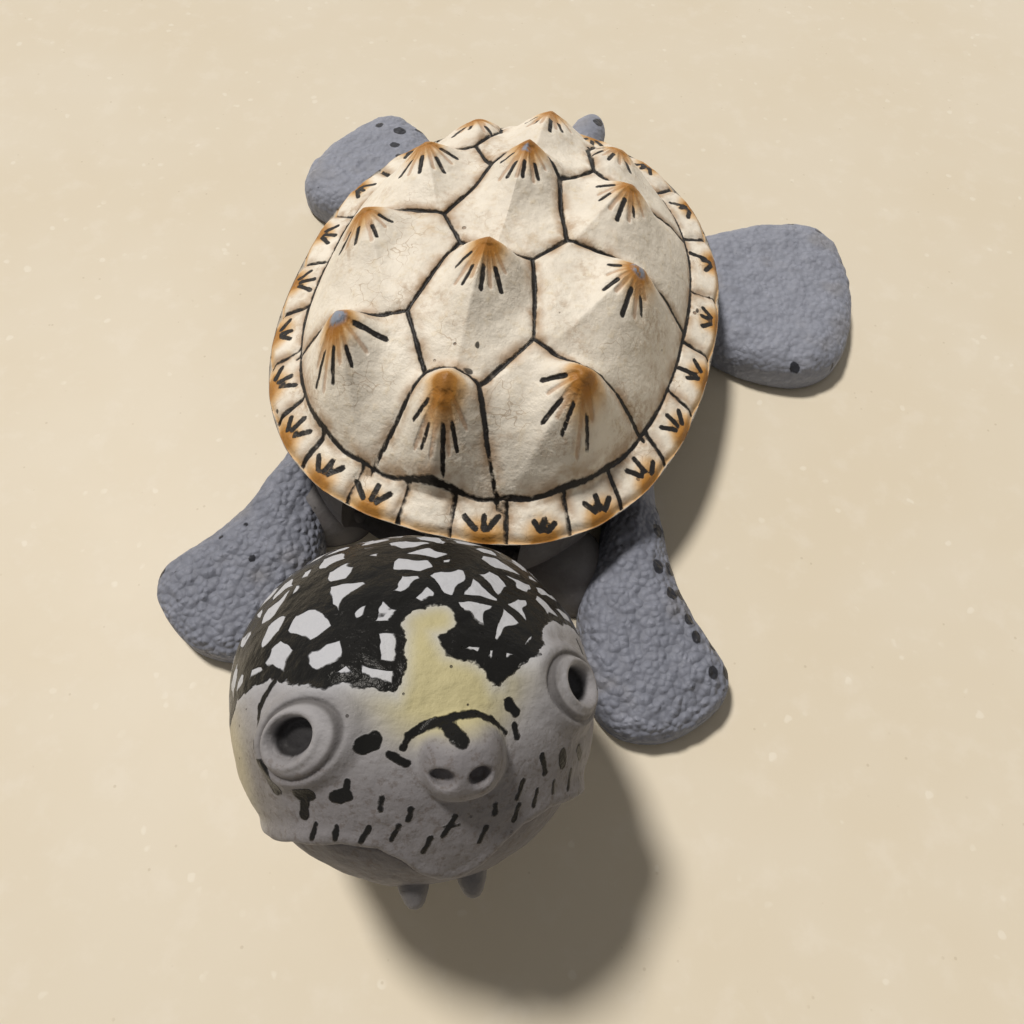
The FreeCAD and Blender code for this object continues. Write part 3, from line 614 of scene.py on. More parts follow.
def stain_amount(points):
    """How much ochre there is at each point: round the knobs and along the rim's scutes."""
    across, along = points.T
    stain = np.zeros(len(points))
    for x, y, rise in KNOBS:
        ahead = y - along
        away = np.hypot(across - x, np.where(ahead > 0, 0.62, 1.25) * (ahead + 0.3))
        stain = np.maximum(stain, (0.66 + 0.06 * rise) * bell(away, 2.3) + 0.34 * bell(away, 4.6))
    reach = outline_reach(np.arctan2(along, across))
    inside = (1 - np.hypot(across, along) / reach) * reach
    from_front = degrees_round(across, along)
    for low, high in zip(MARGINAL_SEAMS, MARGINAL_SEAMS[1:]):
        beside = np.radians(from_front - scute_middle(low, high)) * reach
        stain = np.maximum(stain, 1.2 * bell(beside, 3.2) * bell(inside, 3.4))
    return np.maximum(stain, 0.66 * bell(inside, 1.3))


def shell_finish(settings):
    finish = Finish("shell_paint", settings.cream)
    wobble = (finish.noise(0.9) - 0.5) * 0.34
    broad = finish.noise(7.0)
    half = settings.seam_width / MM / 2
    seam, stroke, groove = (finish.attribute(name) for name in ("seam", "stroke", "groove"))
    seam_ink = (seam + wobble - (broad - 0.5) * 0.55).between(half + 0.1, half - 0.1)
    stroke_ink = (stroke + wobble * 0.8).between(0.1, -0.06)
    scratch = finish.cells(2.6, "DISTANCE_TO_EDGE", finish.shifted(2.0, 2.6))
    ticks = finish.cells(13.0, "F1", finish.shifted(4.0, 3.0)).between(0.042, 0.03)
    pits = finish.specks(5.2, 0.05, 0.07, 16.0, 0.5, 0.6)
    stain = finish.attribute("stain") * (0.62 + 0.76 * finish.noise(2.4, 3.0))
    cloud = finish.noise(11.0, 3.0, 0.6)
    mottle = finish.noise(1.7, 4.0, 0.65)
    finish.layer(cloud.between(0.35, 0.72) * 0.5, "d6cec1")
    finish.layer(mottle.between(0.5, 0.78) * 0.42, "d9c49c")
    finish.layer(finish.noise(6.0, 5.0, 0.7).between(0.56, 0.74) * 0.4, "c3a273")
    wash = seam.between(2.2, 0.2) * finish.noise(3.1, 3.0).between(0.32, 0.62) * 0.72
    finish.layer(wash, "a07a4e")
    # Brown grime in random patches over the shell.
    grime_and_shade = finish.noise(15.0, 4.0, 0.7).between(0.5, 0.68) * finish.noise(1.0, 4.0, 0.7).between(0.4, 0.62)
    finish.layer(grime_and_shade * 0.5, "a5835c")
    finish.layer(stain.between(0.14, 0.62) * 0.72, "d3a45c")
    finish.layer(stain.between(0.5, 0.98) * 0.9, settings.ochre)
    finish.layer(stain.between(0.85, 1.3) * 0.5, "7d4d1c")
    finish.layer((groove + wobble * 0.6).between(0.3, 0.02) * 0.5, "a56c2b")
    finish.layer(scratch.between(0.03, 0.0) * finish.noise(9.0).between(0.52, 0.66) * 0.5, "9a7a52")
    finish.layer(pits * 0.75, "6b4a2c")
    chip = finish.attribute("chip").between(0.25, 0.75) * mottle.between(0.36, 0.5)
    finish.layer(chip, "8c95a6")
    ink = seam_ink.highest(stroke_ink).highest(ticks * 0.9)
    thin = finish.noise(1.3, 3.0).between(0.2, 0.42) * 0.25 + 0.75
    finish.layer(ink * thin, settings.ink)
    finish.layer(finish.attribute("under"), "7c756b")
    height = mottle * 0.24 + cloud * 0.3 + finish.noise(0.6, 3.0) * 0.07 - ink * 0.1 - pits * 0.25
    height = height - groove.between(0.4, 0.0) * 0.12
    roughness = 0.34 + finish.noise(3.0) * 0.22
    return finish.surface(roughness, height)


def shell_disc():
    """A flat round net with a radius of 1, and each point's angle and share of the radius."""
    bm = bmesh.new()
    line = [bm.verts.new((share / SHELL_RINGS, 0, 0)) for share in range(SHELL_RINGS + 1)]
    edges = [bm.edges.new(pair) for pair in zip(line, line[1:])]
    bmesh.ops.spin(bm, geom=line + edges, cent=(0, 0, 0), axis=(0, 0, 1), angle=2 * math.pi,
                   steps=SHELL_SPOKES, use_merge=True)
    bmesh.ops.remove_doubles(bm, verts=bm.verts, dist=1e-5)
    bm.verts.index_update()
    across, along, _ = take_points(bm).T
    return bm, np.arctan2(along, across), np.hypot(across, along)


def shell_plan(angle, share):
    """Where each point lies seen from above, in the scalloped outline, and the outline's reach."""
    around = degrees_round(np.cos(angle), np.sin(angle))
    lobes = np.min([np.abs(around - seam) for seam in MARGINAL_SEAMS], axis=0)
    reach = outline_reach(angle) - 0.55 * bell(lobes, 3.2) * step_up(0.8, 1.0, share)
    return np.stack([np.cos(angle), np.sin(angle)], 1) * (share * reach)[:, None], reach


def shell_height(plan, on_band, seam_depth, seam, stroke, groove):
    """The dome with its knobs, less the seams, strokes and grooves pressed into it."""
    across, along = plan[:, 0], plan[:, 1]
    height = dome_height(across, along) + knob_height(across, along) * (1 - 0.9 * on_band)
    height -= seam_depth * bell(seam, 0.42) + 0.6 * np.exp(-seam / 1.8)
    height -= 0.2 * bell(np.clip(stroke, 0, 9), 0.4) + 0.16 * bell(np.clip(groove, 0, 9), 0.35)
    height += 0.3 * bell(np.hypot(across, along + 32.2) - 1.7, 0.36)
    points = np.column_stack([plan, height])
    return height + (0.24 * ripple(points, 6.0, 3) + 0.08 * ripple(points, 1.6))


def chip_amount(plan):
    """How bare of paint each point is."""
    chips = np.zeros(len(plan))
    for across, along, radius, strength in CHIPS:
        away = np.hypot(plan[:, 0] - across, plan[:, 1] - along)
        chips = np.maximum(chips, strength * bell(away, radius))
    return chips


def step_in(bm, rim, spoke, level, inset, share=1.0):
    """Extrude the open edge to a smaller outline, at a level or up to the shell's inner wall."""
    made = bmesh.ops.extrude_edge_only(bm, edges=rim)["geom"]
    next_spoke = {}
    for vert in [item for item in made if isinstance(item, bmesh.types.BMVert)]:
        before = [edge.other_vert(vert) for edge in vert.link_edges]
        way = next(spoke[other] for other in before if other in spoke)
        distance = (float(outline_reach(np.array(math.atan2(way[1], way[0])))) - inset) * share
        across, along = way[0] * distance, way[1] * distance
        ceiling = float(dome_height(np.array(across), np.array(along))) - SHELL_WALL
        vert.co = (across, along, ceiling if level is None else level)
        next_spoke[vert] = way
    edges = [item for item in made if isinstance(item, bmesh.types.BMEdge)]
    return edges, next_spoke


def close_under(bm, angle):
    """The shell's rim, its ledge, its inner wall and the boss that holds the wire eye."""
    rim = [edge for edge in bm.edges if edge.is_boundary]
    way = np.stack([np.cos(angle), np.sin(angle)], 1)
    spoke = {vert: way[vert.index] for edge in rim for vert in edge.verts}
    for inset, level in RIM_STEPS:
        rim, spoke = step_in(bm, rim, spoke, level, inset)
    for share in ROOF_SHARES:
        rim, spoke = step_in(bm, rim, spoke, None, SHELL_LEDGE, share)
    bmesh.ops.contextual_create(bm, geom=rim)
    place = shift(0, HANGER_ALONG, (BOSS_FOOT + BOSS_TOP) / 2)
    bmesh.ops.create_cone(bm, cap_ends=True, segments=32, radius1=BOSS_RADII[0], radius2=BOSS_RADII[1],
                          depth=BOSS_TOP - BOSS_FOOT, matrix=place)
    bmesh.ops.recalc_face_normals(bm, faces=bm.faces)


class TURTLE_OT_shell(bpy.types.Operator):
    """Build the domed shell with its scutes, knobs and painted fans"""
    bl_idname = "turtle.shell"
    bl_label = "Shell"

    def execute(self, context):
        settings = context.scene.turtle_shell
        bm, angle, share = shell_disc()
        plan, reach = shell_plan(angle, share)
        stroke, groove = (distance_to_runs(plan, runs) for runs in fan_runs())
        past_ring = share - ring_share(angle)
        seam = np.minimum(distance_to_runs(plan, seam_runs()), np.abs(past_ring) * reach * 1.15)
        on_band = step_up(0, 0.02, past_ring)
        height = shell_height(plan, on_band, settings.seam_depth / MM, seam, stroke, groove)
        height -= 0.9 * step_up(0.975, 1.0, share)
        move_points(bm, np.column_stack([plan, height]))
        write_masks(bm, {"seam": seam, "stroke": stroke, "groove": groove, "stain": stain_amount(plan),
                         "chip": chip_amount(plan), "under": np.zeros(len(plan))})
        painted = set(bm.verts)
        close_under(bm, angle)
        to_metres(bm)
        fill_masks(bm, painted, {"seam": 9, "stroke": 9, "groove": 9, "stain": 0, "chip": 0, "under": 1})
        add_piece("shell", bm, shell_finish(settings), "base", "carapace")
        return {"FINISHED"}


# Head
def ellipse_share(forward, power):
    return np.maximum(1 - np.abs(forward) ** power, 1e-6) ** (1 / power)


def halve(outside, low, high, rounds):
    """The reach at which each direction leaves a form, found by halving."""
    for _ in range(rounds):
        middle = (low + high) / 2
        out = outside(middle)
        high, low = np.where(out, middle, high), np.where(out, low, middle)
    return low


def skull_reach(way):
    """How far the plain skull reaches in each direction."""
    def outside(reach):
        share = way * reach[:, None] / HEAD_HALF
        forward = np.clip(-share[:, 1], -1, 1)
        ahead, above = forward > 0, share[:, 2] > 0
        width = ellipse_share(forward, np.where(ahead, 2.12, 2.0))
        power = np.where(above, np.where(ahead, 1.97, 2.03), np.where(ahead, 2.45, 1.93))
        tall = ellipse_share(forward, power)
        total = np.abs(share[:, 0] / width) ** SKULL_POWER + np.abs(share[:, 2] / tall) ** SKULL_POWER
        return (total > 1) | (np.abs(share[:, 1]) >= 1)

    return halve(outside, np.zeros(len(way)), np.full(len(way), 40.0), 30)


def snout_reach(way):
    """How far the snout's flat-fronted tube reaches, or 0 where a direction misses it."""
    start = np.maximum(way @ SNOUT_CENTRE, 0)

    def outside(reach):
        share = np.abs((way * reach[:, None] - SNOUT_CENTRE) / SNOUT_HALF)
        return share[:, 0] ** 2.4 + share[:, 1] ** 4.2 + share[:, 2] ** 2.4 > 1

    return np.where(outside(start), 0, halve(outside, start, start + 14, 28))


def soft_highest(one, other, blend):
    nearness = np.clip(blend - np.abs(one - other), 0, None) / blend
    return np.maximum(one, other) + nearness ** 2 * blend / 4


def eye_distance(points, side, back=0.0):
    """Distance from an eye's middle over the skin, and height over its long axis, which falls to the back."""
    centre = EYE_CENTRES[side]
    facing = centre / HEAD_HALF ** 2
    facing /= np.linalg.norm(facing)
    up = np.array((0, 0, 1.0)) - facing * facing[2]
    up /= np.linalg.norm(up)
    rear = np.cross(up, facing) * side
    offset = points - centre - back * rear
    long_way = offset @ (rear - EYE_LEAN * up) / math.hypot(1, EYE_LEAN)
    short_way = offset @ (up + EYE_LEAN * rear) / math.hypot(1, EYE_LEAN)
    return np.hypot(long_way / EYE_LONG, short_way / EYE_SHORT), short_way


def nostril(points, side):
    """Distance from a nostril's middle in the snout's front face, over a slightly wide oval."""
    across = points[:, 0] - NOSTRIL_ACROSS - side * NOSTRIL_APART
    return np.hypot(across / 1.15, points[:, 2] - NOSTRIL_HEIGHT)


def above_mouth(points):
    return points[:, 2] - np.interp(np.abs(points[:, 0]), MOUTH_ACROSS, MOUTH_HEIGHT)


def face_relief(points, way):
    """Heights added to the skull: eyes, mouth, jowls and brows."""
    rise = np.zeros(len(points))
    for side in (-1, 1):
        away, above = eye_distance(points, side)
        near = step_up(0.8, 0.9, way @ unit(EYE_CENTRES[side]))
        pit = eye_distance(points, side, PIT_BACK)[0]
        lid = 1.15 * (1 - step_up(2.9, 5.4, away)) + 0.24 * bell(pit - 2.35, 0.28)
        lid -= 0.4 * bell(away - 3.3, 0.24) + 2.0 * (1 - step_up(1.35, 2.1, pit))
        lid += 0.3 * bell(away - 4.2, 0.4) * step_up(-2, 2, above)
        rise += lid * near
    across, forward, up = np.abs(points[:, 0]), -points[:, 1], points[:, 2]
    lip = above_mouth(points)
    in_front = step_up(2, 8, forward)
    rise -= 0.75 * step_up(0.15, -0.45, lip) * in_front * (1 - step_up(16.5, 19, across))
    rise -= 0.5 * bell(lip + 0.3, 0.35) * in_front * (1 - step_up(16.5, 19, across))
    rise += 0.55 * bell(lip - 1.3, 1.2) * step_up(9, 14, across) * in_front
    rise += 0.25 * bell(lip - 0.8, 0.8) * in_front * (1 - step_up(14, 18, across))
    for side in (-1, 1):
        rise += 0.8 * bell(points[:, 0] - side * 9.0, 4.0) * bell(up - 10.2, 2.2) * step_up(8, 14, forward)
    return rise


def head_finish(settings):
    finish = Finish("head_paint", settings.skin)
    wobble = finish.noise(0.8) - 0.5
    crown = finish.attribute("crown")
    drawn = finish.shifted(3.4, 2.2)
    cell = settings.net_cell / MM
    web = finish.cells(cell, "DISTANCE_TO_EDGE", drawn)
    inside = (crown + wobble * 0.9 + (finish.noise(2.8, 1.0) - 0.5) * 1.7).between(-0.1, 0.15)
    line = web - (finish.noise(5.0, 1.0) - 0.5) * 0.3 + wobble * 0.05
    net = line.between(0.185, 0.16)
    border = (crown + wobble * 0.8 + (finish.noise(3.1, 1.0) - 0.5) * 1.6).between(1.4, 1.2)
    crown_ink = inside * net.highest(border)
    marks = (finish.attribute("mark") + wobble * 0.5).between(0.08, -0.08)
    ink = crown_ink.highest(marks)
    skin_noise = finish.noise(5.0, 4.0, 0.6)
    finish.layer(skin_noise.between(0.35, 0.7) * 0.5, "9b9a9e")
    yellow = finish.attribute("yellow") * (0.75 + 0.5 * finish.noise(4.2, 3.0))
    finish.layer(yellow.between(0.12, 0.8), settings.yellow)
    finish.layer((crown + 0.6).between(-1.0, 2.2) * 0.92, "c2c5cd")
    finish.layer(finish.attribute("cheek").between(0.1, 1.0) * 0.75, "b9ae8c")
    # Painted shade: dark in the eye creases, the nostrils, the mouth line and over the chin, and on the neck
    # and barbels.
    finish.layer(finish.attribute("painted_shade").between(0.05, 1.0) * 0.75, "4d4a49")
    speck = finish.specks(1.7, 0.07, 0.1, 8.0, 0.5, 0.6)
    finish.layer(speck * 0.8, "3a3532")
    # Painted shade over the lower face and the snout's front, which turn away from the key light; the dark
    # mottling in it is partly real stipple and partly more painted shade.
    muzzle_shade = finish.attribute("muzzle_shade")
    finish.layer(muzzle_shade * 0.72, "706d70")
    grime_and_shade = finish.noise(0.8, 4.0, 0.7).between(0.5, 0.66) * muzzle_shade.between(0.1, 0.9)
    finish.layer(grime_and_shade * 0.55, "5f5650")
    finish.layer(finish.attribute("pupil").between(0.2, 0.8) * 0.94, "232223")
    finish.layer(ink, "12110f")
    height = skin_noise * 0.3 + finish.noise(1.3, 4.0, 0.6) * 0.22 + ink * 0.16
    height = height + crown_ink * finish.noise(2.2, 1.0) * 0.3 - speck * 0.15
    roughness = 0.44 + finish.noise(3.0) * 0.12 - ink * 0.22
    return finish.surface(roughness, height, specular=0.1)


def mark_distance(way):
    """Distance to the face's painted marks and whisker strokes."""
    runs = [(on_ball(start), on_ball(end), half_width) for start, end, half_width in FACE_MARKS]
    for number, middle in enumerate(WHISKERS):
        vary = noise.noise(Vector((number * 2.7, 0.3, 1.1)))
        lean = np.array((0.36 + 0.5 * vary, 0, 1.0)) * (0.72 + 0.4 * vary)
        runs.append((on_ball(middle - lean), on_ball(middle + lean), 0.24))
    runs.append((on_ball((-1.4, -23.8, -2.8)), on_ball((0.4, -23.8, -2.9)), 0.1))
    return distance_to_runs(way * HEAD_BALL, runs)


def crown_distance(way, longitude, latitude):
    """Distance to the lower edge of the crown's net, above 0 inside it, less the notch."""
    edge = np.array(CROWN_EDGE, float)
    runs = []
    for start, end in zip(edge, edge[1:]):
        steps = int(np.hypot(*(end - start)) / 5) + 1
        line = [from_angles(*(start + (end - start) * step / steps)) for step in range(steps + 1)]
        runs += [(one, other, 0) for one, other in zip(line, line[1:])]
    inside = np.where(latitude > np.interp(longitude, edge[:, 0], edge[:, 1]), 1, -1)
    left, right, half_width = CROWN_NOTCH
    notch = (from_angles(*left), from_angles(*right), half_width)
    return np.minimum(inside * distance_to_runs(way * HEAD_BALL, runs),
                      distance_to_runs(way * HEAD_BALL, [notch]))


def dark_masks(points, way):
    """The dark of the pupils, and painted shade in the creases and on the mounds round the eyes, in the
    nostrils, along the mouth and over the chin below it.
    """
    forward, lip = -points[:, 1], above_mouth(points)
    pupil, painted_shade = np.zeros(len(points)), np.zeros(len(points))
    for side in (-1, 1):
        away = eye_distance(points, side)[0]
        near = step_up(0.8, 0.9, way @ unit(EYE_CENTRES[side]))
        pit = eye_distance(points, side, PIT_BACK)[0]
        pupil = np.maximum(pupil, (1 - step_up(1.5, 2.0, pit)) * near)
        painted_shade = np.maximum(painted_shade, (0.9 * bell(away - 3.3, 0.3) + 0.35 * bell(away - 4.2, 1.1)) * near)
        hole = 1.3 * (1 - step_up(0.6, 1.1, nostril(points, side))) * (forward > 22)
        painted_shade = np.maximum(painted_shade, hole)
    in_front = step_up(2, 8, forward)
    for mouth in (0.9 * bell(lip + 0.35, 0.45), step_up(0, -1, lip)):
        painted_shade = np.maximum(painted_shade, mouth * in_front)
    return pupil, painted_shade


def head_masks(points, way):
    """Float masks for the head's paint and its painted shade, in millimetres or from 0 to 1."""
    across, forward, up = points[:, 0], -points[:, 1], points[:, 2]
    longitude = np.degrees(np.arctan2(way[:, 0], -way[:, 1]))
    latitude = np.degrees(np.arcsin(np.clip(way[:, 2], -1, 1)))
    pupil, painted_shade = dark_masks(points, way)
    forehead = bell(np.hypot(across - 0.5, (up - 10.2) * 1.3), 7.8) * step_up(10, 14, forward)
    snout_top = bell(np.hypot(across - 0.5, (up - 7.8) * 1.8), 3.8) * step_up(20, 22, forward)
    cheek = bell(longitude + 72, 26.0) * bell(latitude + 6, 20.0)
    cheek += 0.7 * bell(longitude - 72, 22.0) * bell(latitude + 10, 16.0)
    # Painted shade on the lower face and the snout's front, which turn away from the light.
    shaded_low_face = step_up(7, 0, up) * step_up(9, 14, forward)
    shaded_snout_front = step_up(22.5, 24.5, forward) * step_up(7.4, 5.0, up)
    return {
        "crown": crown_distance(way, longitude, latitude), "mark": mark_distance(way),
        "pupil": pupil, "painted_shade": painted_shade, "cheek": cheek,
        "yellow": np.maximum(forehead, 0.9 * snout_top) * (1 - 0.85 * shaded_snout_front),
        "muzzle_shade": np.maximum(shaded_low_face, shaded_snout_front),
    }


def head_ball():
    """A round net with finer faces in front, and each point's direction."""
    bm = bmesh.new()
    bmesh.ops.create_icosphere(bm, subdivisions=7, radius=1.0)
    face_way = Vector((0, -1, 0.04)).normalized()
    face = [edge for edge in bm.edges
            if all(vert.co.normalized().dot(face_way) > 0.42 for vert in edge.verts)]
    bmesh.ops.subdivide_edges(bm, edges=face, cuts=1, use_grid_fill=True)
    bmesh.ops.triangulate(bm, faces=[one for one in bm.faces if len(one.verts) > 3])
    way = take_points(bm)
    return bm, way / np.linalg.norm(way, axis=1)[:, None]


def head_points(way):
    """The skull and snout with the face's relief and the nostrils."""
    reach = soft_highest(skull_reach(way), snout_reach(way), 1.7)
    points = way * reach[:, None]
    reach = reach + face_relief(points, way)
    reach += 0.22 * ripple(points, 6.5) + 0.05 * ripple(points, 1.5)
    points = way * reach[:, None]
    for side in (-1, 1):
        reach = reach - 1.5 * (1 - step_up(0.5, 1.1, nostril(points, side))) * (points[:, 1] < -22)
    return way * reach[:, None]


def barbel(side):
    """A small soft point that hangs from the chin."""
    across, along, height = BARBEL_FOOT
    hang = Vector((0, -0.5, -1)).normalized().to_track_quat("Y", "Z").to_matrix().to_4x4()
    return turned(BARBEL_PROFILE, 20, HEAD_PLACE @ shift(side * across, along, height) @ hang)


class TURTLE_OT_head(bpy.types.Operator):
    """Build the head with its snout, eyes, jaws and barbels, in one with the neck"""
    bl_idname = "turtle.head"
    bl_label = "Head"

    def execute(self, context):
        settings = context.scene.turtle_head
        bm, way = head_ball()
        points = head_points(way)
        move_points(bm, points)
        write_masks(bm, head_masks(points, way))
        painted = set(bm.verts)
        bmesh.ops.transform(bm, matrix=HEAD_PLACE, verts=bm.verts)
        for other in (turned(NECK_PROFILE, 40, NECK_PLACE), barbel(-1), barbel(1)):
            join(bm, other)
        to_metres(bm)
        # The neck and barbels, under the head, get painted shade at 0.75.
        fill_masks(bm, painted, {"mark": 9, "crown": -9, "painted_shade": 0.75})
        add_piece("head", bm, head_finish(settings), "head", "head_casting")
        return {"FINISHED"}


# Limbs
def smooth_outline(shares, count):
    """Points on a closed smooth curve through the outline's shares."""
    shares = np.array(shares, float)
    total = len(shares)
    points = []
    for step in range(count):
        place = step * total / count
        first = int(place)
        t = place - first
        a, b, c, d = (shares[(first + offset) % total] for offset in (-1, 0, 1, 2))
        points.append(0.5 * (2 * b + (c - a) * t + (2 * a - 5 * b + 4 * c - d) * t ** 2
                             + (3 * b - a - 3 * c + d) * t ** 3))
    return np.array(points)


def body_reach(angle, level, extra):
    """The body casting's outer outline at a height, moved in by extra."""
    share = np.clip(level / BODY_MIDDLE, 0, 2)
    inset = BODY_INSET + np.interp(share, (0, 1, 2), BODY_NARROWING) + extra
    chest = np.interp(share, (0, 1, 2), BODY_CHEST)
    return outline_reach(angle, SHELL_HALF_WIDTH - inset, SHELL_FRONT - inset + chest, SHELL_REAR - inset)


def limb_matrix(side, across, along, heading):
    return shift(side * across, along, 0) @ rotation(side * heading, "Z")


def keep_out_of_body(points):
    """Hold a limb's buried end just inside the body's wall."""
    angle = np.arctan2(points[:, 1], points[:, 0])
    level = body_reach(angle, points[:, 2], 1.2)
    reach = np.hypot(points[:, 0], points[:, 1])
    scale = np.where(reach < level, level / np.maximum(reach, 0.1), 1)
    return points * np.column_stack([scale, scale, np.ones(len(points))])


def limb_in_place(points, matrix):
    return keep_out_of_body(np.array([(matrix @ Vector(point))[:] for point in points]))


def remeshed(bm, voxel):
    """The same solid with an even net of faces, as a new bmesh."""
    mesh = bpy.data.meshes.new("blank")
    bm.to_mesh(mesh)
    bm.free()
    blank = bpy.data.objects.new("blank", mesh)
    bpy.context.scene.collection.objects.link(blank)
    remesh = blank.modifiers.new("even", "REMESH")
    remesh.mode = "VOXEL"
    remesh.voxel_size = voxel
    bpy.context.view_layer.update()
    graph = bpy.context.evaluated_depsgraph_get()
    even = bpy.data.meshes.new_from_object(blank.evaluated_get(graph))
    bpy.data.objects.remove(blank)
    bpy.data.meshes.remove(mesh)
    out = bmesh.new()
    out.from_mesh(even)
    bpy.data.meshes.remove(even)
    return out


def limb_finish(settings):
    finish = Finish("flipper_paint", settings.slate)
    grain = settings.grain / MM
    rough = finish.attribute("rough")
    pebble = finish.cells(grain, "SMOOTH_F1", finish.shifted(2.2, 0.7), Smoothness=0.35)
    broad = finish.noise(5.5, 3.0, 0.6)
    streak = finish.noise(2.4, 4.0, 0.7)
    wobble = (finish.noise(0.9) - 0.5) * 0.3
    finish.layer(broad.between(0.35, 0.7) * 0.6, "747885")
    finish.layer(streak.between(0.52, 0.78) * 0.55, "a0a4b2")
    finish.layer((1 - rough).between(0.3, 0.6) * 0.4, "a6abba")
    finish.layer(pebble.between(0.35, 0.75) * rough * 0.35, "62656f")
    finish.layer(finish.noise(9.0).between(0.55, 0.75) * 0.3, "8c867f")
    speck = finish.specks(3.4, 0.05, 0.08, 11.0, 0.5, 0.58)
    finish.layer(speck * 0.7, "3c3d44")
    # Painted shade along the bottom, where the flippers and tail meet the table.
    finish.layer(finish.attribute("low").between(0.1, 1.0) * 0.35, "55545a")
    spot = (finish.attribute("spot") + wobble).between(0.1, -0.1)
    finish.layer(spot * 0.95, "15151b")
    height = (0.6 - pebble) * rough * 0.62 + streak * 0.2 + finish.noise(0.55) * 0.05
    roughness = 0.5 + broad * 0.12 - spot * 0.16
    return finish.surface(roughness, height)


def flipper_blank(outline):
    """A plate with the flipper's outline, an even net of faces and slightly rounded edges."""
    bm = bmesh.new()
    bmesh.ops.create_circle(bm, cap_ends=True, segments=len(outline), radius=1.0)
    for vert, (back, out) in zip(bm.verts, outline):
        vert.co = (out, back, 0)
    lifted = bmesh.ops.extrude_face_region(bm, geom=list(bm.faces))["geom"]
    tops = [item for item in lifted if isinstance(item, bmesh.types.BMVert)]
    bmesh.ops.translate(bm, vec=(0, 0, FLIPPER_TOP), verts=tops)
    bmesh.ops.recalc_face_normals(bm, faces=bm.faces)
    to_metres(bm)
    bm = remeshed(bm, FLIPPER_VOXEL * MM)
    for _ in range(3):
        bmesh.ops.smooth_vert(bm, verts=bm.verts, factor=0.5, use_axis_x=True, use_axis_y=True,
                              use_axis_z=True)
    return bm


def spot_distance(points, spots, side, length, half_width):
    runs = []
    for share, outward, long_half, short_half in spots:
        level = 4.4 if outward < -0.85 else 7.6
        place = np.array((side * outward * half_width, -share * length, level * SPOT_FLATNESS))
        extra = np.array((0, max(long_half - short_half, 0.05), 0))
        runs.append((place - extra, place + extra, short_half * SPOT_SWELL))
    return distance_to_runs(points * (1, 1, SPOT_FLATNESS), runs)


def flipper(name, material):
    side, across, along, heading, length, half_width, shares, spots = LIMBS[name]
    outline = smooth_outline(shares, 168) * (-length, side * half_width)
    bm = flipper_blank(outline)
    points = take_points(bm) / MM
    edges = [(one[::-1], other[::-1], 0) for one, other in zip(outline, np.roll(outline, -1, axis=0))]
    depth = distance_to_runs(points[:, :2], edges)
    share = -points[:, 1] / length
    front = name.startswith("front")
    flat = np.column_stack([points[:, :2], 0 * share])
    crest = FLIPPER_TOP - 1.6 * share + (0.5 if front else 0.2) * ripple(flat, 9.0)
    if front:
        crest += 0.5 * bell(share - 0.2, 0.2) - 1.1 * bell(share - 0.95, 0.16)
    dome = np.sqrt(1 - (1 - np.clip(depth / 6.5, 0, 1)) ** 2)
    lump = 0.42 * ripple(points, 3.2, 3) + 0.2 * ripple(points, 1.5)
    top = 3.4 + (crest - 3.4) * dome + lump * step_up(0, 3, points[:, 2])
    level = np.clip(points[:, 2] / FLIPPER_TOP, 0, 1)
    tuck = 0.9 * step_up(2.2, 0, points[:, 2])
    inward = np.array((0, -length * 0.5)) - points[:, :2]
    inward /= np.linalg.norm(inward, axis=1)[:, None]
    near_edge = bell(np.clip(depth, 0, 9), 1.6)[:, None]
    points[:, :2] += inward * tuck[:, None] * near_edge
    points[:, 2] = level * top
    move_points(bm, limb_in_place(points, limb_matrix(side, across, along, heading)) * MM)
    spot = spot_distance(points, spots, side, length, half_width)
    rough = step_up(0.06, 0.3, share) * (1.0 if front else 0.45)
    # The low mask carries the painted shade near the table.
    write_masks(bm, {"spot": spot, "rough": rough, "low": 1 - step_up(0, 2.5, points[:, 2])})
    add_piece(name + "_paddle", bm, material, "base", name + "_flipper")


def tail(material):
    """A short blunt tail, a little flattened."""
    bm = turned(TAIL_PROFILE, 48, Matrix.Identity(4))
    bmesh.ops.subdivide_edges(bm, edges=bm.edges, cuts=1, use_grid_fill=True, smooth=0.3)
    bmesh.ops.remove_doubles(bm, verts=bm.verts, dist=0.001)
    points = take_points(bm)
    points[:, 1] *= -1
    points *= (1.0, 1.0, 0.94)
    points[:, 2] += TAIL_HEIGHT
    centre = np.column_stack([0 * points[:, 0], points[:, 1], 0 * points[:, 0] + TAIL_HEIGHT])
    outward = points - centre
    points = points + outward * (0.09 * ripple(points, 4.0) + 0.03 * ripple(points, 1.5))[:, None]
    move_points(bm, limb_in_place(points, limb_matrix(*TAIL_PLACE)))
    bmesh.ops.recalc_face_normals(bm, faces=bm.faces)
    if bm.calc_volume(signed=True) < 0:
        bmesh.ops.reverse_faces(bm, faces=bm.faces)
    to_metres(bm)
    # The low mask carries the painted shade near the table.
    write_masks(bm, {"spot": distance_to_runs(points, TAIL_SPOTS), "rough": np.full(len(points), 0.35),
                     "low": 1 - step_up(1, 3, points[:, 2])})
    add_piece("tail_cone", bm, material, "base", "tail")


class TURTLE_OT_limbs(bpy.types.Operator):
    """Build the four flippers and the tail"""
    bl_idname = "turtle.limbs"
    bl_label = "Flippers and tail"

    def execute(self, context):
        material = limb_finish(context.scene.turtle_limbs)
        for name in LIMBS:
            flipper(name, material)
        tail(material)
        return {"FINISHED"}


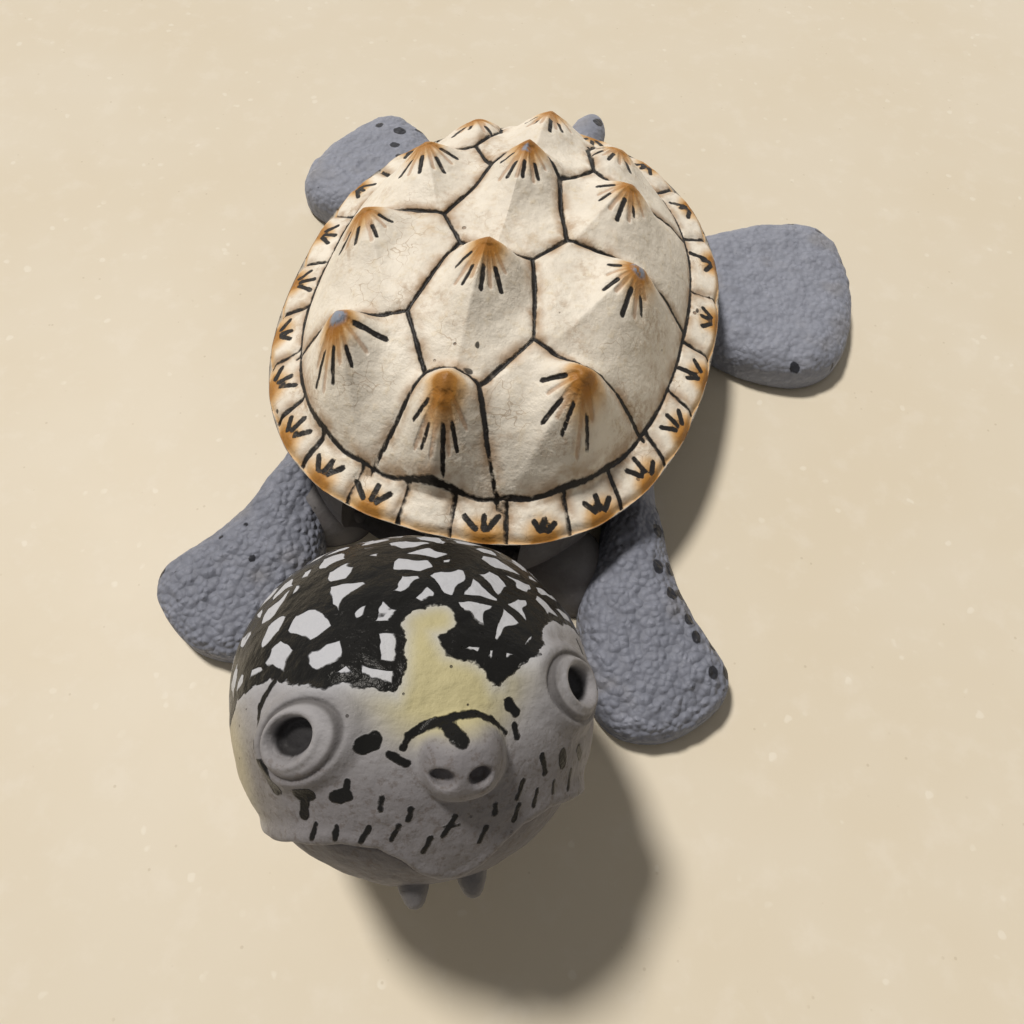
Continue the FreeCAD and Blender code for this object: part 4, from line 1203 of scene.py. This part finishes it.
# Body and fittings
def belly_finish(settings):
    finish = Finish("body_paint", settings.belly)
    cloud = finish.noise(8.0, 4.0, 0.6)
    fine = finish.noise(1.1, 4.0, 0.65)
    finish.layer(cloud.between(0.35, 0.7) * 0.7, "575251")
    finish.layer(fine.between(0.55, 0.75) * 0.4, "7f7c7c")
    speck = finish.specks(2.8, 0.06, 0.09, 10.0, 0.48, 0.6)
    finish.layer(speck * 0.6, "2f2c2b")
    return finish.surface(0.5 + fine * 0.16, fine * 0.16 + cloud * 0.2, 0.9)


def steel_finish(name, settings, size):
    finish = Finish(name, settings.steel)
    drawn = finish.node("ShaderNodeMapping", inputs={"Vector": finish.place, "Scale": (1.0, 0.16, 1.0)})
    line = finish.noise(size, 5.0, 0.7, drawn)
    smear = finish.noise(6.0, 3.0, 0.6)
    finish.layer(smear.between(0.4, 0.7) * 0.5, "7f7b76")
    finish.layer(finish.noise(2.0, 4.0, 0.7).between(0.62, 0.74) * 0.5, "6a4a34")
    return finish.surface(0.28 + smear * 0.14 + line * 0.14, line * 0.05, 0.5, metallic=1.0)


def shoulder(side, material):
    """The chest's low rounded pad between the neck's mouth and a front flipper."""
    bm = bmesh.new()
    bmesh.ops.create_icosphere(bm, subdivisions=5, radius=1.0)
    points = take_points(bm) * SHOULDER_HALF
    points[:, 1] -= 0.03 * points[:, 0] ** 2
    turned_by = np.array(Matrix.Rotation(math.radians(side * SHOULDER_HEADING), 3, "Z"))
    points = points @ turned_by.T + (side * SHOULDER_ACROSS, SHOULDER_ALONG, 0)
    points[:, 2] = np.maximum(points[:, 2], 0)
    points[:, 2] += 0.25 * ripple(points, 4.0) * step_up(0, 2, points[:, 2])
    move_points(bm, keep_out_of_body(points) * MM)
    add_piece("shoulder_left" if side > 0 else "shoulder_right", bm, material, "base", None)


class TURTLE_OT_fittings(bpy.types.Operator):
    """Finish the body under the shell, the wire eyes and link, and the slug"""
    bl_idname = "turtle.fittings"
    bl_label = "Body and fittings"

    def execute(self, context):
        settings = context.scene.turtle_fittings
        finishes = {"body_casting": belly_finish(settings),
                    "counterweight": steel_finish("slug", settings, 0.9)}
        wire = steel_finish("wire", settings, 0.25)
        for name in ("roof_eye", "hanger_link", "neck_eye"):
            finishes[name] = wire
        for name, material in finishes.items():
            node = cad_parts[name]
            node.data.materials.clear()
            node.data.materials.append(material)
        for side in (-1, 1):
            shoulder(side, finishes["body_casting"])
        return {"FINISHED"}


# Stage
def table_finish(settings):
    finish = Finish("table_top", settings.table)
    cloud = finish.noise(45.0, 3.0, 0.6)
    blotch = finish.noise(6.0, 4.0, 0.6)
    finish.layer(cloud.between(0.3, 0.7) * 0.4, "dccfb6")
    finish.layer(blotch.between(0.5, 0.72) * 0.3, "ece5d8")
    chips = finish.specks(4.2, 0.1, 0.17, 9.0, 0.46, 0.6, finish.shifted(2.0, 1.2))
    finish.layer(chips * 0.5, "f2ecdf")
    grit = finish.specks(2.7, 0.06, 0.1, 7.0, 0.5, 0.62)
    finish.layer(grit * 0.35, "b7a88c")
    return finish.surface(0.42 + blotch * 0.1, blotch * 0.03, 0.4)


class TURTLE_OT_stage(bpy.types.Operator):
    """Add the table, the lights and the camera"""
    bl_idname = "turtle.stage"
    bl_label = "Stage"

    def execute(self, context):
        settings = context.scene.turtle_stage
        scene = context.scene
        bm = bmesh.new()
        bmesh.ops.create_grid(bm, x_segments=8, y_segments=8, size=TABLE_HALF * MM)
        mesh = bpy.data.meshes.new("table")
        bm.to_mesh(mesh)
        bm.free()
        mesh.materials.append(table_finish(settings))
        table = bpy.data.objects.new("table", mesh)
        scene.collection.objects.link(table)
        self.world(scene, settings)
        lamp = bpy.data.lights.new("key", "SUN")
        lamp.energy = settings.key
        lamp.angle = math.radians(KEY_SPREAD)
        lamp.color = KEY_COLOUR
        key = bpy.data.objects.new("key", lamp)
        key.rotation_euler = Vector(KEY_WAY).to_track_quat("-Z", "Y").to_euler()
        scene.collection.objects.link(key)
        self.camera(scene)
        scene.view_settings.view_transform = "Standard"
        return {"FINISHED"}

    @staticmethod
    def world(scene, settings):
        """White behind the object for the eye and for gloss, a soft warm fill for everything else."""
        world = bpy.data.worlds.new("studio")
        scene.world = world
        world.use_nodes = True
        tree = world.node_tree
        tree.nodes.clear()
        path = tree.nodes.new("ShaderNodeLightPath")
        seen = path.outputs["Is Camera Ray"]
        for ray in ("Is Glossy Ray", "Is Transmission Ray"):
            either = tree.nodes.new("ShaderNodeMath")
            either.operation = "MAXIMUM"
            tree.links.new(seen, either.inputs[0])
            tree.links.new(path.outputs[ray], either.inputs[1])
            seen = either.outputs[0]
        mix = tree.nodes.new("ShaderNodeMixShader")
        tree.links.new(seen, mix.inputs["Fac"])
        for place, colour, strength in ((1, FILL_COLOUR, settings.fill), (2, WHITE, 1.0)):
            light = tree.nodes.new("ShaderNodeBackground")
            light.inputs["Color"].default_value = colour
            light.inputs["Strength"].default_value = strength
            tree.links.new(light.outputs[0], mix.inputs[place])
        out = tree.nodes.new("ShaderNodeOutputWorld")
        tree.links.new(mix.outputs[0], out.inputs["Surface"])

    @staticmethod
    def camera(scene):
        """The photograph's own place and angle."""
        lens = bpy.data.cameras.new("photo_view")
        lens.sensor_width = PHOTO_WIDTH
        lens.lens = PHOTO_LENS
        lens.clip_start = 0.005
        camera = bpy.data.objects.new("photo_view", lens)
        right, up, forward = PHOTO_AXES
        facing = Matrix((right, up, tuple(-value for value in forward))).transposed()
        camera.matrix_world = Matrix.Translation(Vector(PHOTO_PLACE) * MM) @ facing.to_4x4()
        scene.collection.objects.link(camera)
        scene.camera = camera


class TURTLE_PT_panel(bpy.types.Panel):
    """Steps that model the figurine, in order"""
    bl_idname = "TURTLE_PT_panel"
    bl_label = "Turtle figurine"
    bl_space_type = "VIEW_3D"
    bl_region_type = "UI"
    bl_category = "Turtle"

    def draw(self, context):
        scene = context.scene
        for step, name, _ in STEPS:
            self.layout.operator(step.bl_idname)
            settings = getattr(scene, name)
            for setting in settings.__annotations__:
                self.layout.prop(settings, setting)


# Steps in order: operator, name of its settings on the scene, and their group
STEPS = (
    (TURTLE_OT_shell, "turtle_shell", ShellSettings), (TURTLE_OT_head, "turtle_head", HeadSettings),
    (TURTLE_OT_limbs, "turtle_limbs", LimbSettings), (TURTLE_OT_fittings, "turtle_fittings", FittingSettings),
    (TURTLE_OT_stage, "turtle_stage", StageSettings),
)


def register():
    for step, name, group in STEPS:
        bpy.utils.register_class(group)
        setattr(bpy.types.Scene, name, PointerProperty(type=group))
        bpy.utils.register_class(step)
    bpy.utils.register_class(TURTLE_PT_panel)


def unregister():
    bpy.utils.unregister_class(TURTLE_PT_panel)
    for step, name, group in reversed(STEPS):
        bpy.utils.unregister_class(step)
        delattr(bpy.types.Scene, name)
        bpy.utils.unregister_class(group)


def main():
    register()
    bpy.ops.turtle.shell()
    bpy.ops.turtle.head()
    bpy.ops.turtle.limbs()
    bpy.ops.turtle.fittings()
    bpy.ops.turtle.stage()


if __name__ == "__main__":
    main()
